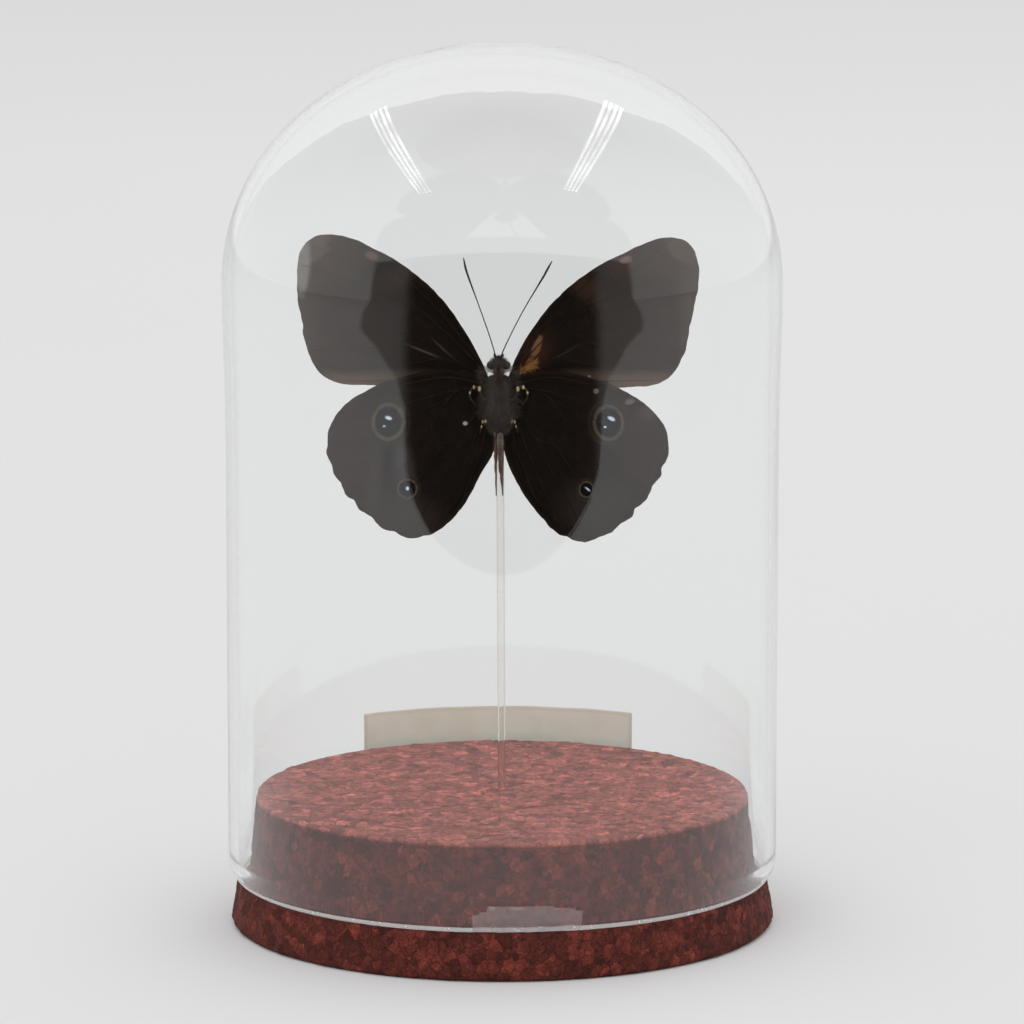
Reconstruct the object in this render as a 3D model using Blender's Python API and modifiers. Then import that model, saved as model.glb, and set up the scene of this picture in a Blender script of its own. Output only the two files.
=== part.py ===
"""Dried butterfly on a clear rod, under a glass dome on a stepped cork base.

Metres, +Z up. The origin is the middle of the cork's underside. The butterfly hangs upright with its
underside towards -Y, so its back and the paper label on the glass are towards +Y. Left and right are
as seen from the front: left is -X.

Everything round is turned about the dome's axis. The butterfly's pieces are laid out in the specimen's
own plane, measured outwards from its body line and upwards from the wing roots.
"""

from math import cos, exp, pi, radians, sin

import bmesh
import bpy
from mathutils import Vector

MM = 0.001
GAP = 0.3 * MM  # clearance between pieces that touch

# Glass dome
CYLINDER_R = 62.4 * MM  # outside, along the straight wall
BULGE_R = 63.0 * MM  # outside, at the widest ring under the crown
BULGE_Z = 146.4 * MM
BULGE_SPREAD = 20.0 * MM  # how far below the widest ring the wall comes back to the cylinder
APEX_Z = 200.0 * MM
CROWN_POWER = 2.06  # 2 would be a plain ellipse
WALL = 2.2 * MM
WALL_RINGS_Z = (134.0 * MM, 122.0 * MM, 108.0 * MM)  # profile points between the widest ring and the curl
CURL_Z = 15.2 * MM  # the wall starts to turn in here
CURL_DROP = 2.0 * MM  # and this far lower it has turned in by CURL_IN
CURL_IN = 0.35 * MM
RIM_Z = 10.9 * MM
RIM_R = 60.2 * MM  # middle of the fire-polished rim
RIM_THICKNESS = 1.9 * MM
TURN_STEPS = 48

# Cork base
CORK_TOP_Z = 30.0 * MM
PLUG_TOP_R = 56.1 * MM
PLUG_FOOT_R = 57.8 * MM
LEDGE_Z = RIM_Z - GAP
FLANGE_TOP_R = 60.3 * MM
FLANGE_FOOT_R = 61.8 * MM
EDGE = 0.6 * MM  # rounding of the cork's upper edges
FOOT_EDGE = 1.6 * MM  # rounding of its lower edge

# Clear rod
ROD_R = 0.85 * MM
ROD_SEAT_Z = 10.0 * MM  # bottom of the blind hole
ROD_TOP = Vector((-0.5, 0.0, 112.6)) * MM

# Paper label on the back of the glass
LABEL_GAP = 0.2 * MM
LABEL_THICKNESS = 0.25 * MM
LABEL_Z = (18.5 * MM, 37.0 * MM)
LABEL_ANGLES = (-32.5, 30.0)  # degrees about the back, from left to right
LABEL_STEPS = 13

# Butterfly: the point on the body line level with the wing roots, and the planes of its layers
BODY = Vector((-0.8, 2.6, 121.5)) * MM
FOREWING_Y = 4.6 * MM
HINDWING_Y = 3.6 * MM
WING_THICKNESS = 0.4 * MM
DIHEDRAL = radians(2.5)  # the wings lean back, away from the underside
HEAD_AXES = Vector((1.9, 1.6, 1.75)) * MM
HEAD_AT = Vector((0.0, -0.4, 5.8)) * MM
EYE_R = 1.0 * MM
EYE_AT = Vector((1.7, -0.25, 0.1)) * MM  # from the head's middle, on its right

# Wing outlines in mm: (outwards from the body line, upwards from the wing roots)
FOREWING_LEFT = (
    (3.1, 5.0), (8.3, 14.2), (16.1, 23.7), (28.4, 32.0), (38.6, 35.1), (43.2, 33.6), (45.7, 26.9),
    (45.0, 17.0), (42.9, 7.0), (39.0, 2.2), (27.2, 0.7), (14.0, -0.4), (3.1, -1.2),
)
FOREWING_RIGHT = (
    (3.1, 5.8), (7.7, 13.9), (16.5, 23.6), (28.8, 31.1), (39.0, 34.4), (43.4, 32.6), (45.3, 25.8),
    (43.5, 14.6), (41.3, 6.0), (37.6, 1.6), (28.2, 0.2), (14.0, -0.6), (3.1, -1.2),
)
HINDWING_LEFT = (
    (3.7, 3.4), (12.0, 4.6), (19.3, 3.6), (30.6, -0.6), (37.2, -6.2), (39.0, -12.4), (36.9, -20.2),
    (31.8, -27.2), (22.3, -33.4), (16.5, -33.6), (8.5, -27.1), (3.8, -18.6), (1.1, -13.8), (1.0, -10.6),
    (2.5, -8.4), (3.6, -5.0),
)
HINDWING_RIGHT = (
    (3.7, 3.4), (12.0, 4.4), (19.3, 3.2), (30.5, -1.5), (37.3, -7.9), (38.6, -12.6), (36.2, -20.6),
    (30.6, -28.4), (22.8, -34.1), (16.2, -34.4), (8.4, -27.6), (3.6, -20.2), (1.2, -13.8), (1.0, -10.6),
    (2.5, -8.4), (3.6, -5.0),
)

# Round members in mm: points (outwards, in front of the body line, upwards), radius at each
THORAX = (
    (
        (0, 0, 3.6), (0, 0, 3.1), (0, 0, 1.6), (0, 0, -1.0), (0, 0, -4.2), (0, 0, -6.6), (0, 0, -8.4),
        (0, 0, -9.2),
    ),
    (1.3, 2.1, 2.9, 3.25, 3.3, 2.9, 1.9, 1.0),
)
ABDOMEN = (
    ((0.1, 0.2, -9.7), (0.0, 0.2, -11.8), (-0.1, 0.2, -16.0), (-0.4, 0.2, -24.0)),
    (0.85, 1.15, 0.95, 0.25),
)
ANTENNA_LEFT = (
    (
        (0.7, 0.4, 7.9), (2.6, 0.7, 14.2), (4.9, 0.9, 20.6), (6.9, 0.8, 26.2), (7.5, 0.7, 28.2),
        (7.9, 0.6, 30.2),
    ),
    (0.14, 0.13, 0.14, 0.24, 0.27, 0.12),
)
ANTENNA_RIGHT = (
    (
        (0.5, 0.4, 7.9), (3.5, 0.7, 14.4), (6.9, 0.9, 20.6), (9.9, 0.8, 25.6), (11.0, 0.7, 27.6),
        (12.0, 0.6, 29.4),
    ),
    (0.14, 0.13, 0.14, 0.24, 0.27, 0.12),
)
PALP = (
    ((0.6, 2.75, 5.2), (0.58, 3.1, 4.2), (0.42, 3.3, 3.0), (0.28, 3.4, 1.8)),
    (0.34, 0.42, 0.3, 0.1),
)
MID_LEG = (
    (
        (3.5, 1.6, -1.4), (4.3, 1.2, 0.6), (5.6, 0.7, 0.9), (6.5, 0.3, -0.4), (6.2, 0.2, -2.0),
        (5.2, 0.2, -3.2),
    ),
    (0.3, 0.3, 0.22, 0.2, 0.16, 0.12),
)
HIND_LEG = (
    ((2.5, 0.8, -8.2), (2.95, 0.6, -6.8), (3.6, 0.3, -7.0), (3.9, 0.1, -8.2), (4.3, 0.1, -9.6)),
    (0.28, 0.26, 0.22, 0.16, 0.12),
)

SIDES = (("left", -1), ("right", 1))


def clear_scene():
    for old in list(bpy.data.objects):
        bpy.data.objects.remove(old)


def new_collection(name):
    collection = bpy.data.collections.new(name)
    bpy.context.scene.collection.children.link(collection)
    return collection


def finish(name, rgb, roughness, transmission=0.0):
    """One Principled material, in linear colour."""
    material = bpy.data.materials.new(name)
    material.use_nodes = True
    shader = material.node_tree.nodes["Principled BSDF"]
    shader.inputs["Base Color"].default_value = (*rgb, 1.0)
    shader.inputs["Roughness"].default_value = roughness
    shader.inputs["Transmission Weight"].default_value = transmission
    return material


def add_object(name, data, collection, material):
    made = bpy.data.objects.new(name, data)
    collection.objects.link(made)
    data.materials.append(material)
    return made


def turned(name, profile, collection, material):
    """A profile of (radius, height) points, from the top down its outer side, turned about the Z axis."""
    mesh = bpy.data.meshes.new(name)
    edges = [(i, i + 1) for i in range(len(profile) - 1)]
    mesh.from_pydata([(r, 0.0, z) for r, z in profile], edges, [])
    made = add_object(name, mesh, collection, material)
    screw = made.modifiers.new("turn", "SCREW")
    screw.steps = screw.render_steps = TURN_STEPS
    screw.use_merge_vertices = True
    screw.merge_threshold = 0.01 * MM
    screw.use_smooth_shade = True
    return made


def tube(name, points, radii, collection, material):
    """A round member through the points, with its own radius at each and closed ends."""
    curve = bpy.data.curves.new(name, "CURVE")
    curve.dimensions = "3D"
    curve.bevel_depth = 1.0 * MM
    curve.bevel_resolution = 2
    curve.use_fill_caps = True
    spline = curve.splines.new("POLY")
    spline.points.add(len(points) - 1)
    for place, point, radius in zip(spline.points, points, radii):
        place.co = (*point, 1.0)
        place.radius = radius / MM
    return add_object(name, curve, collection, material)


def ellipsoid(name, centre, axes, collection, material, segments, rings):
    mesh = bpy.data.meshes.new(name)
    shape = bmesh.new()
    bmesh.ops.create_uvsphere(shape, u_segments=segments, v_segments=rings, radius=1.0)
    bmesh.ops.scale(shape, vec=axes, verts=shape.verts)
    shape.to_mesh(mesh)
    shape.free()
    mesh.shade_smooth()
    made = add_object(name, mesh, collection, material)
    made.location = centre
    return made


def corner(centre_r, centre_z, radius, start, end, steps=3):
    """Points of a rounded edge in the profile, from one angle to another in degrees."""
    angles = (radians(start + (end - start) * i / steps) for i in range(steps + 1))
    return [(centre_r + radius * cos(a), centre_z + radius * sin(a)) for a in angles]


def dome_radius(z, inset):
    """Radius of the dome's wall at a height, moved in by inset: 0 outside, WALL inside."""
    if z < BULGE_Z:
        swell = exp(-(((BULGE_Z - z) / BULGE_SPREAD) ** 2))
        return CYLINDER_R + (BULGE_R - CYLINDER_R) * swell - inset
    rise = min((z - BULGE_Z) / (APEX_Z - inset - BULGE_Z), 1.0)
    return (BULGE_R - inset) * (1.0 - rise**CROWN_POWER) ** (1.0 / CROWN_POWER)


def crown_heights(inset, steps=12):
    """Heights from the apex down to the widest ring, closer together near the apex."""
    reach = APEX_Z - inset - BULGE_Z
    return [BULGE_Z + reach * cos(pi / 2 * i / steps) for i in range(steps + 1)]


def make_dome(collection):
    glass = finish("clear_glass", (0.95, 0.97, 0.97), 0.02, transmission=1.0)
    outer = [(dome_radius(z, 0.0), z) for z in crown_heights(0.0) + list(WALL_RINGS_Z)]
    curl = [(CYLINDER_R, CURL_Z), (CYLINDER_R - CURL_IN, CURL_Z - CURL_DROP)]
    rim_radius = RIM_THICKNESS / 2
    rim = corner(RIM_R, RIM_Z + rim_radius, rim_radius, 10, -190, steps=6)
    inner = [(CYLINDER_R - WALL, CURL_Z + CURL_DROP / 2)]
    inner += [(dome_radius(z, WALL), z) for z in reversed(crown_heights(WALL) + list(WALL_RINGS_Z))]
    turned("glass_dome", outer + curl + rim + inner, collection, glass)


def make_cork(collection):
    cork = finish("dyed_cork", (0.17, 0.03, 0.02), 0.85)
    hole_r = ROD_R + GAP
    profile = [(0.0, ROD_SEAT_Z), (hole_r, ROD_SEAT_Z), (hole_r, CORK_TOP_Z)]
    profile += corner(PLUG_TOP_R - EDGE, CORK_TOP_Z - EDGE, EDGE, 90, 0)
    profile += [(PLUG_FOOT_R, LEDGE_Z)]
    profile += corner(FLANGE_TOP_R - EDGE, LEDGE_Z - EDGE, EDGE, 90, 0)
    profile += corner(FLANGE_FOOT_R - FOOT_EDGE, FOOT_EDGE, FOOT_EDGE, 0, -90)
    profile += [(0.0, 0.0)]
    turned("cork_base", profile, collection, cork)


def make_rod(collection):
    acrylic = finish("clear_rod", (0.93, 0.94, 0.92), 0.03, transmission=1.0)
    foot = Vector((0.0, 0.0, ROD_SEAT_Z + GAP))
    rod = tube("mounting_rod", (foot, ROD_TOP), (ROD_R, ROD_R), collection, acrylic)
    rod.data.bevel_resolution = 4


def make_label(collection):
    """A strip of a cylinder around the back of the glass, thickened outwards."""
    paper = finish("label_paper", (0.6, 0.56, 0.44), 0.9)
    radius = CYLINDER_R + LABEL_GAP
    first, last = (radians(angle) for angle in LABEL_ANGLES)
    angles = [first + (last - first) * i / LABEL_STEPS for i in range(LABEL_STEPS + 1)]
    mesh = bpy.data.meshes.new("paper_label")
    shape = bmesh.new()
    columns = [[shape.verts.new((radius * sin(a), radius * cos(a), z)) for z in LABEL_Z] for a in angles]
    for (low, high), (next_low, next_high) in zip(columns, columns[1:]):
        shape.faces.new((low, high, next_high, next_low))
    shape.to_mesh(mesh)
    shape.free()
    label = add_object("paper_label", mesh, collection, paper)
    thicken = label.modifiers.new("thickness", "SOLIDIFY")
    thicken.thickness = LABEL_THICKNESS
    thicken.offset = 1.0


def make_wing(name, outline, side, depth, collection, material):
    """A flat plate with a smooth closed outline, standing upright and leaning back from the body line."""
    curve = bpy.data.curves.new(name, "CURVE")
    curve.dimensions = "2D"
    curve.fill_mode = "BOTH"
    curve.extrude = WING_THICKNESS / 2
    curve.resolution_u = 4
    spline = curve.splines.new("BEZIER")
    spline.bezier_points.add(len(outline) - 1)
    for point, (out, up) in zip(spline.bezier_points, outline):
        point.co = (side * out * MM, up * MM, 0.0)
        point.handle_left_type = point.handle_right_type = "AUTO"
    for root in (spline.bezier_points[0], spline.bezier_points[-1]):
        root.handle_left_type = root.handle_right_type = "VECTOR"
    spline.use_cyclic_u = True
    wing = add_object(name, curve, collection, material)
    wing.location = (BODY.x, depth, BODY.z)
    wing.rotation_euler = (pi / 2, 0.0, side * DIHEDRAL)


def specimen_point(side, out, front, up):
    """A point given outwards, in front of and above the wing roots, in mm."""
    return BODY + Vector((side * out, -front, up)) * MM


def make_member(name, member, side, collection, material):
    points, radii = member
    places = [specimen_point(side, *point) for point in points]
    tube(name, places, [radius * MM for radius in radii], collection, material)


def make_head(collection, material):
    """The head capsule with its two round eyes grown onto it."""
    centre = BODY + HEAD_AT
    head = ellipsoid("head", centre, HEAD_AXES, collection, material, 16, 10)
    cutters = new_collection("joined_shapes")
    for name, side in SIDES:
        eye_centre = centre + Vector((side * EYE_AT.x, EYE_AT.y, EYE_AT.z))
        eye = ellipsoid(f"eye_{name}", eye_centre, Vector((1, 1, 1)) * EYE_R, cutters, material, 12, 8)
        eye.hide_render = True
        eye.display_type = "WIRE"
        union = head.modifiers.new(f"eye_{name}", "BOOLEAN")
        union.operation = "UNION"
        union.object = eye


def make_butterfly(collection):
    wing_scales = finish("wing_scales", (0.03, 0.02, 0.015), 0.75)
    body_hair = finish("body_hair", (0.04, 0.03, 0.025), 0.85)
    horn = finish("dark_horn", (0.02, 0.012, 0.008), 0.4)
    outlines = {"left": (FOREWING_LEFT, HINDWING_LEFT), "right": (FOREWING_RIGHT, HINDWING_RIGHT)}
    antennae = {"left": ANTENNA_LEFT, "right": ANTENNA_RIGHT}

    make_member("thorax", THORAX, 1, collection, body_hair)
    bpy.data.objects["thorax"].data.bevel_resolution = 4
    make_member("abdomen", ABDOMEN, 1, collection, body_hair)
    make_head(collection, body_hair)
    for name, side in SIDES:
        forewing, hindwing = outlines[name]
        make_wing(f"forewing_{name}", forewing, side, FOREWING_Y, collection, wing_scales)
        make_wing(f"hindwing_{name}", hindwing, side, HINDWING_Y, collection, wing_scales)
        make_member(f"antenna_{name}", antennae[name], side, collection, horn)
        make_member(f"palp_{name}", PALP, side, collection, body_hair)
        make_member(f"mid_leg_{name}", MID_LEG, side, collection, horn)
        make_member(f"hind_leg_{name}", HIND_LEG, side, collection, horn)


def main():
    clear_scene()
    parts = new_collection("insect_in_glass_dome")
    make_cork(parts)
    make_dome(parts)
    make_rod(parts)
    make_label(parts)
    make_butterfly(parts)


main()
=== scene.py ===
"""Dried butterfly in a glass dome on a dyed cork base: fine shapes, finishes, stage and camera.

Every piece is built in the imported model's frame: metres, +Z up, the origin under the middle of the cork,
the butterfly's underside towards -Y. Left is -X, as seen from the front. The file is laid out as an
add-on and run as a script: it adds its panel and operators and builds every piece.

The butterfly's own measures are in mm, outwards from its body line and upwards from its wing roots.
"""

from math import atan2, cos, degrees, pi, radians, sin

import bpy
import numpy as np
from bpy.props import FloatProperty, FloatVectorProperty, IntProperty, PointerProperty
from bpy.types import Operator, Panel, PropertyGroup
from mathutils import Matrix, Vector, noise


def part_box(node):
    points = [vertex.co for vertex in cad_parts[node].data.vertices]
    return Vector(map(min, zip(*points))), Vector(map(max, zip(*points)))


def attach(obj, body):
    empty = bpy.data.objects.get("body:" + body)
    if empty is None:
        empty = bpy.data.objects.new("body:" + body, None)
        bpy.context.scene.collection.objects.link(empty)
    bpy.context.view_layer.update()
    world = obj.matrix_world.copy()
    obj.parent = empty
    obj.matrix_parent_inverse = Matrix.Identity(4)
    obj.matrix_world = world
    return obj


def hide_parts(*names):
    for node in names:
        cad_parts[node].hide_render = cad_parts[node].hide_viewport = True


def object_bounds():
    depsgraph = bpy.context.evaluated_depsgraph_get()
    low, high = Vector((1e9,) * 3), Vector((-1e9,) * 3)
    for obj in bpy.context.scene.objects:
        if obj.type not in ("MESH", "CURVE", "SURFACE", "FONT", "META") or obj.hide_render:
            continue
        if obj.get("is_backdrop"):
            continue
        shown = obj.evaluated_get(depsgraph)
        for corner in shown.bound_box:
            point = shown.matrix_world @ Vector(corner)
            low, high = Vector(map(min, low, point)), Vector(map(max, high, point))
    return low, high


bl_info = {
    "name": "Insect in Glass Dome",
    "version": (1, 0, 0),
    "blender": (4, 5, 0),
    "location": "View3D > Sidebar > Insect Dome",
    "description": "Builds a dried butterfly in a glass dome on a cork base",
    "category": "Object",
}

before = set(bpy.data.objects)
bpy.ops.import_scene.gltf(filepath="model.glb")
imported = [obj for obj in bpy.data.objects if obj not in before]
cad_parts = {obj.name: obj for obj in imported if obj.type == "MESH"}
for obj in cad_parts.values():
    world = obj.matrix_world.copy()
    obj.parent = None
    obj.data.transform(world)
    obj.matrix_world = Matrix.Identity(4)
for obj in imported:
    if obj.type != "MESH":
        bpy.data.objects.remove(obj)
CAD_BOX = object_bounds()
MM = 0.001
SIDES = (("left", -1), ("right", 1))

# The wing roots' place on the body line
BODY = Vector((-0.8, 2.6, 121.5)) * MM


def specimen_points(side, points):
    """Places in the frame for points given outwards, in front of and above the wing roots, in mm."""
    out, front, up = np.asarray(points, float).T
    return np.array(BODY) + MM * np.column_stack((side * out, -front, up))


# ---------------------------------------------------------------- meshes


class Shape:
    """Points and faces gathered for one piece, with the finish that each face takes."""

    def __init__(self):
        self.points, self.faces, self.finishes, self.fields = [], [], [], {}

    def add(self, points, faces, finish=0, **fields):
        start = len(self.points)
        self.points.extend(map(tuple, points))
        self.faces.extend(tuple(start + i for i in face) for face in faces)
        self.finishes.extend([finish] * len(faces))
        for name, values in fields.items():
            self.fields.setdefault(name, []).append((start, values))

    def build(self, name, materials, slot, stands_for):
        """The piece as an object that rides on the body and stands for the CAD nodes."""
        mesh = bpy.data.meshes.new(name)
        mesh.from_pydata(self.points, [], self.faces)
        for material in materials:
            mesh.materials.append(material)
        mesh.polygons.foreach_set("material_index", self.finishes)
        for field, parts in self.fields.items():
            values = np.zeros(len(self.points), np.float32)
            for start, part in parts:
                values[start : start + len(part)] = part
            mesh.attributes.new(field, "FLOAT", "POINT").data.foreach_set("value", values)
        mesh.shade_smooth()
        piece = bpy.data.objects.new(name, mesh)
        bpy.context.scene.collection.objects.link(piece)
        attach(piece, "root")
        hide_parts(*stands_for)
        return piece


def grid_faces(rows, columns, closed=True):
    """Quads between rows of points; closed joins the last column to the first."""
    faces = []
    for row in range(rows - 1):
        for column in range(columns if closed else columns - 1):
            after = (column + 1) % columns
            low, high = row * columns, (row + 1) * columns
            faces.append((low + column, low + after, high + after, high + column))
    return faces


def turned(profile, steps):
    """Points and faces of a profile of (radius, height) turned about Z, from the top down its outer side."""
    profile = np.asarray(profile, float)
    angles = np.arange(steps) * 2 * pi / steps
    ring = np.column_stack((np.cos(angles), np.sin(angles)))
    points, starts = [], []
    for radius, z in profile:
        starts.append(len(points))
        if radius < 1e-9:
            points.append((0.0, 0.0, z))
        else:
            points.extend((radius * x, radius * y, z) for x, y in ring)
    faces = []
    for (low, high), (first, second) in zip(zip(starts, starts[1:]), zip(profile, profile[1:])):
        for step in range(steps):
            after = (step + 1) % steps
            if first[0] < 1e-9:
                faces.append((low, high + step, high + after))
            elif second[0] < 1e-9:
                faces.append((low + step, high, low + after))
            else:
                faces.append((low + step, high + step, high + after, low + after))
    return points, faces


def smooth_path(points, count):
    """Points along a smooth curve through the given ones, of any number of dimensions."""
    points = np.asarray(points, float)
    place = np.linspace(0, len(points) - 1, count)
    index = np.minimum(place.astype(int), len(points) - 2)
    t = (place - index)[:, None]
    padded = np.vstack((2 * points[0] - points[1], points, 2 * points[-1] - points[-2]))
    a, b, c, d = (padded[index + k] for k in range(4))
    return 0.5 * (2 * b + (c - a) * t + (2 * a - 5 * b + 4 * c - d) * t**2 + (3 * b - a - 3 * c + d) * t**3)


def unit(vectors):
    return vectors / np.maximum(np.linalg.norm(vectors, axis=-1, keepdims=True), 1e-12)


def tube(path, radii, sides, flatten=1.0):
    """Rings of points round a path that lies near the XZ plane, their normals, and faces with closed ends."""
    along = unit(np.gradient(path, axis=0))
    across = unit(np.cross(along, (0.0, 1.0, 0.0)))
    front = np.cross(across, along)
    angles = np.arange(sides) * 2 * pi / sides
    spokes = across[:, None] * np.cos(angles)[:, None] + front[:, None] * np.sin(angles)[:, None] * flatten
    rings = path[:, None] + spokes * np.asarray(radii)[:, None, None]
    points = np.vstack((rings.reshape(-1, 3), path[:1], path[-1:]))
    faces = [face[::-1] for face in grid_faces(len(path), sides)]
    first, last, end = len(points) - 2, len(points) - 1, (len(path) - 1) * sides
    faces += [(first, side, (side + 1) % sides) for side in range(sides)]
    faces += [(last, end + (side + 1) % sides, end + side) for side in range(sides)]
    return points, faces, rings, unit(spokes)


def ellipsoid(centre, axes, segments, rings):
    """Points, faces and normals of an ellipsoid turned about Z."""
    polar = [(sin(pi * i / rings), cos(pi * i / rings)) for i in range(rings + 1)]
    polar[0], polar[-1] = (0.0, 1.0), (0.0, -1.0)
    points, faces = turned(polar, segments)
    points = np.array(points)
    return np.array(centre) + points * np.array(axes), faces, unit(points / np.array(axes))


def hairs(rng, roots, directions, lengths, radius, curl=0.25):
    """Tapered three-sided hairs: a ring at the root, one half way and a tip, each bent its own way."""
    count = len(roots)
    directions = unit(directions)
    lengths = np.broadcast_to(lengths, count)[:, None]
    across = unit(np.cross(directions, rng.normal(size=(count, 3))))
    other = np.cross(directions, across)
    bend = across * rng.uniform(-curl, curl, (count, 1)) * lengths
    middle = roots + directions * lengths * 0.55 + bend * 0.35
    tip = roots + directions * lengths + bend
    points = []
    for centre, size in ((roots, radius), (middle, radius * 0.7)):
        for angle in (0, 2 * pi / 3, 4 * pi / 3):
            points.append(centre + (across * cos(angle) + other * sin(angle)) * size)
    points.append(tip)
    stacked = np.stack(points, axis=1).reshape(-1, 3)
    pattern = [(0, 1, 4, 3), (1, 2, 5, 4), (2, 0, 3, 5), (3, 4, 6), (4, 5, 6), (5, 3, 6)]
    faces = [tuple(hair * 7 + i for i in face) for hair in range(count) for face in pattern]
    return stacked, faces


def rounded(centre_r, centre_z, radius, start, end, steps):
    """Profile points of a rounded edge, from one angle to another in degrees."""
    angles = np.radians(np.linspace(start, end, steps + 1))
    return [(centre_r + radius * cos(a), centre_z + radius * sin(a)) for a in angles]


# ---------------------------------------------------------------- node trees


def toned(colour, amount):
    """The colour made darker (amount below 1) or paler (above 1)."""
    return tuple(c * amount for c in colour)


class Finish:
    """One material and the nodes that drive its Principled shader. Lengths in its nodes are in mm."""

    def __init__(self, name):
        self.material = bpy.data.materials.new(name)
        self.material.use_nodes = True
        self.tree = self.material.node_tree
        self.shader = self.tree.nodes["Principled BSDF"]
        self.output = self.tree.nodes["Material Output"]

    def set(self, **values):
        """Sets or links the shader's sockets by name, with _ for a space."""
        for name, value in values.items():
            self.feed(self.shader.inputs[name.replace("_", " ")], value)
        return self

    def feed(self, socket, value):
        if isinstance(value, bpy.types.NodeSocket):
            self.tree.links.new(value, socket)
        elif socket.type == "RGBA":
            socket.default_value = (*value[:3], 1.0)
        else:
            socket.default_value = value

    def node(self, kind, *inputs, **settings):
        made = self.tree.nodes.new("ShaderNode" + kind)
        for key, value in settings.items():
            setattr(made, key, value)
        for socket, value in zip(made.inputs, inputs):
            if value is not None:
                self.feed(socket, value)
        return made

    def where(self):
        """The place in the frame, in mm."""
        place = self.node("TexCoord").outputs["Object"]
        made = self.node("VectorMath", place, operation="SCALE")
        made.inputs["Scale"].default_value = 1 / MM
        return made.outputs["Vector"]

    def field(self, name):
        made = self.node("Attribute")
        made.attribute_name = name
        return made.outputs["Fac"]

    def stretched(self, where, scale, turn=(0.0, 0.0, 0.0)):
        return self.node("Mapping", where, (0.0, 0.0, 0.0), turn, scale).outputs["Vector"]

    def noise(self, where, size, detail=4.0, roughness=0.55, twist=0.0):
        """Cloudy noise with features about size mm across."""
        made = self.node("TexNoise")
        self.feed(made.inputs["Vector"], where)
        values = {"Scale": 1 / size, "Detail": detail, "Roughness": roughness, "Distortion": twist}
        for name, value in values.items():
            made.inputs[name].default_value = value
        return made.outputs["Fac"]

    def cells(self, where, size, feature="F1"):
        """Cells about size mm across: the distance from a cell's middle or edge, and each cell's colour."""
        made = self.node("TexVoronoi", feature=feature)
        self.feed(made.inputs["Vector"], where)
        made.inputs["Scale"].default_value = 1 / size
        return made.outputs["Distance"], None if feature == "DISTANCE_TO_EDGE" else made.outputs["Color"]

    def calc(self, operation, first, second=None, third=None):
        return self.node("Math", first, second, third, operation=operation).outputs[0]

    def map(self, value, low, high, to_low=0.0, to_high=1.0, smooth=True):
        made = self.node("MapRange", value, low, high, to_low, to_high)
        made.interpolation_type = "SMOOTHSTEP" if smooth else "LINEAR"
        return made.outputs["Result"]

    def ramp(self, factor, *stops):
        """A colour or grey level along the factor, from (place, colour) stops."""
        made = self.node("ValToRGB", factor)
        elements = made.color_ramp.elements
        while len(elements) < len(stops):
            elements.new(0.5)
        for element, (place, colour) in zip(elements, stops):
            element.position = place
            level = (colour,) * 3 if isinstance(colour, (int, float)) else colour
            element.color = (*level, 1.0)
        return made.outputs["Color"]

    def blend(self, factor, first, second, mode="MIX"):
        made = self.node("Mix", data_type="RGBA", blend_type=mode)
        self.feed(made.inputs["Factor"], factor)
        for socket, value in zip([s for s in made.inputs if s.type == "RGBA"], (first, second)):
            self.feed(socket, value)
        return next(s for s in made.outputs if s.type == "RGBA")

    def bump(self, height, depth, strength=1.0, over=None):
        """Relief of depth mm on the shader's normal."""
        made = self.node("Bump")
        made.inputs["Strength"].default_value = strength
        made.inputs["Distance"].default_value = depth * MM
        self.feed(made.inputs["Height"], height)
        if over is not None:
            self.feed(made.inputs["Normal"], over)
        return made.outputs["Normal"]

    def patch(self, where, centre, radii, turn=0.0, soft=0.3, ragged=None, amount=0.0):
        """1 inside an upright oval at (x, z) with radii in mm, and 0 outside; noise can fray its edge."""
        x, z = centre
        made = self.node("Mapping", where, (x, 0.0, z), (0.0, radians(turn), 0.0), (radii[0], 1e4, radii[1]))
        made.vector_type = "TEXTURE"
        reach = self.node("VectorMath", made.outputs["Vector"], operation="LENGTH").outputs["Value"]
        if ragged is not None:
            reach = self.calc("MULTIPLY_ADD", ragged, amount, self.calc("ADD", reach, -amount / 2))
        return self.map(reach, 1 - soft, 1 + soft, 1.0, 0.0)

    def let_lamps_through(self, tint):
        """Rays towards lamps pass straight through, so that what stands inside the glass is lit."""
        clear = self.node("BsdfTransparent", tint).outputs["BSDF"]
        path = self.node("LightPath").outputs["Is Shadow Ray"]
        mixed = self.node("MixShader", path, self.shader.outputs["BSDF"], clear).outputs["Shader"]
        self.tree.links.new(mixed, self.output.inputs["Surface"])
        return self


# ---------------------------------------------------------------- glass dome

CYLINDER_R = 62.4 * MM
BULGE_Z = 146.4 * MM  # the widest ring, under the crown
BULGE_SPREAD = 20.0 * MM
CROWN_POWER = 2.06
WALL = 2.2 * MM
CURL_Z, CURL_DROP, CURL_IN = 15.2 * MM, 2.0 * MM, 0.35 * MM
RIM_R, RIM_THICKNESS = 60.2 * MM, 1.9 * MM
GLASS_WAVE = 0.05 * MM  # unevenness of the blown wall
CHIP_MIDDLE, CHIP_HALF = 5.2, 12.2  # degrees to the right of the front
CHIP_TOP_Z, CHIP_DEPTH, CHIP_SLOPE = 17.6 * MM, 1.0 * MM, 1.3 * MM
RIM_TOP = 1.3 * MM  # how far above its lowest point the polished rim reaches
GLASS_IOR, ROD_IOR = 1.5, 1.49


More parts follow.
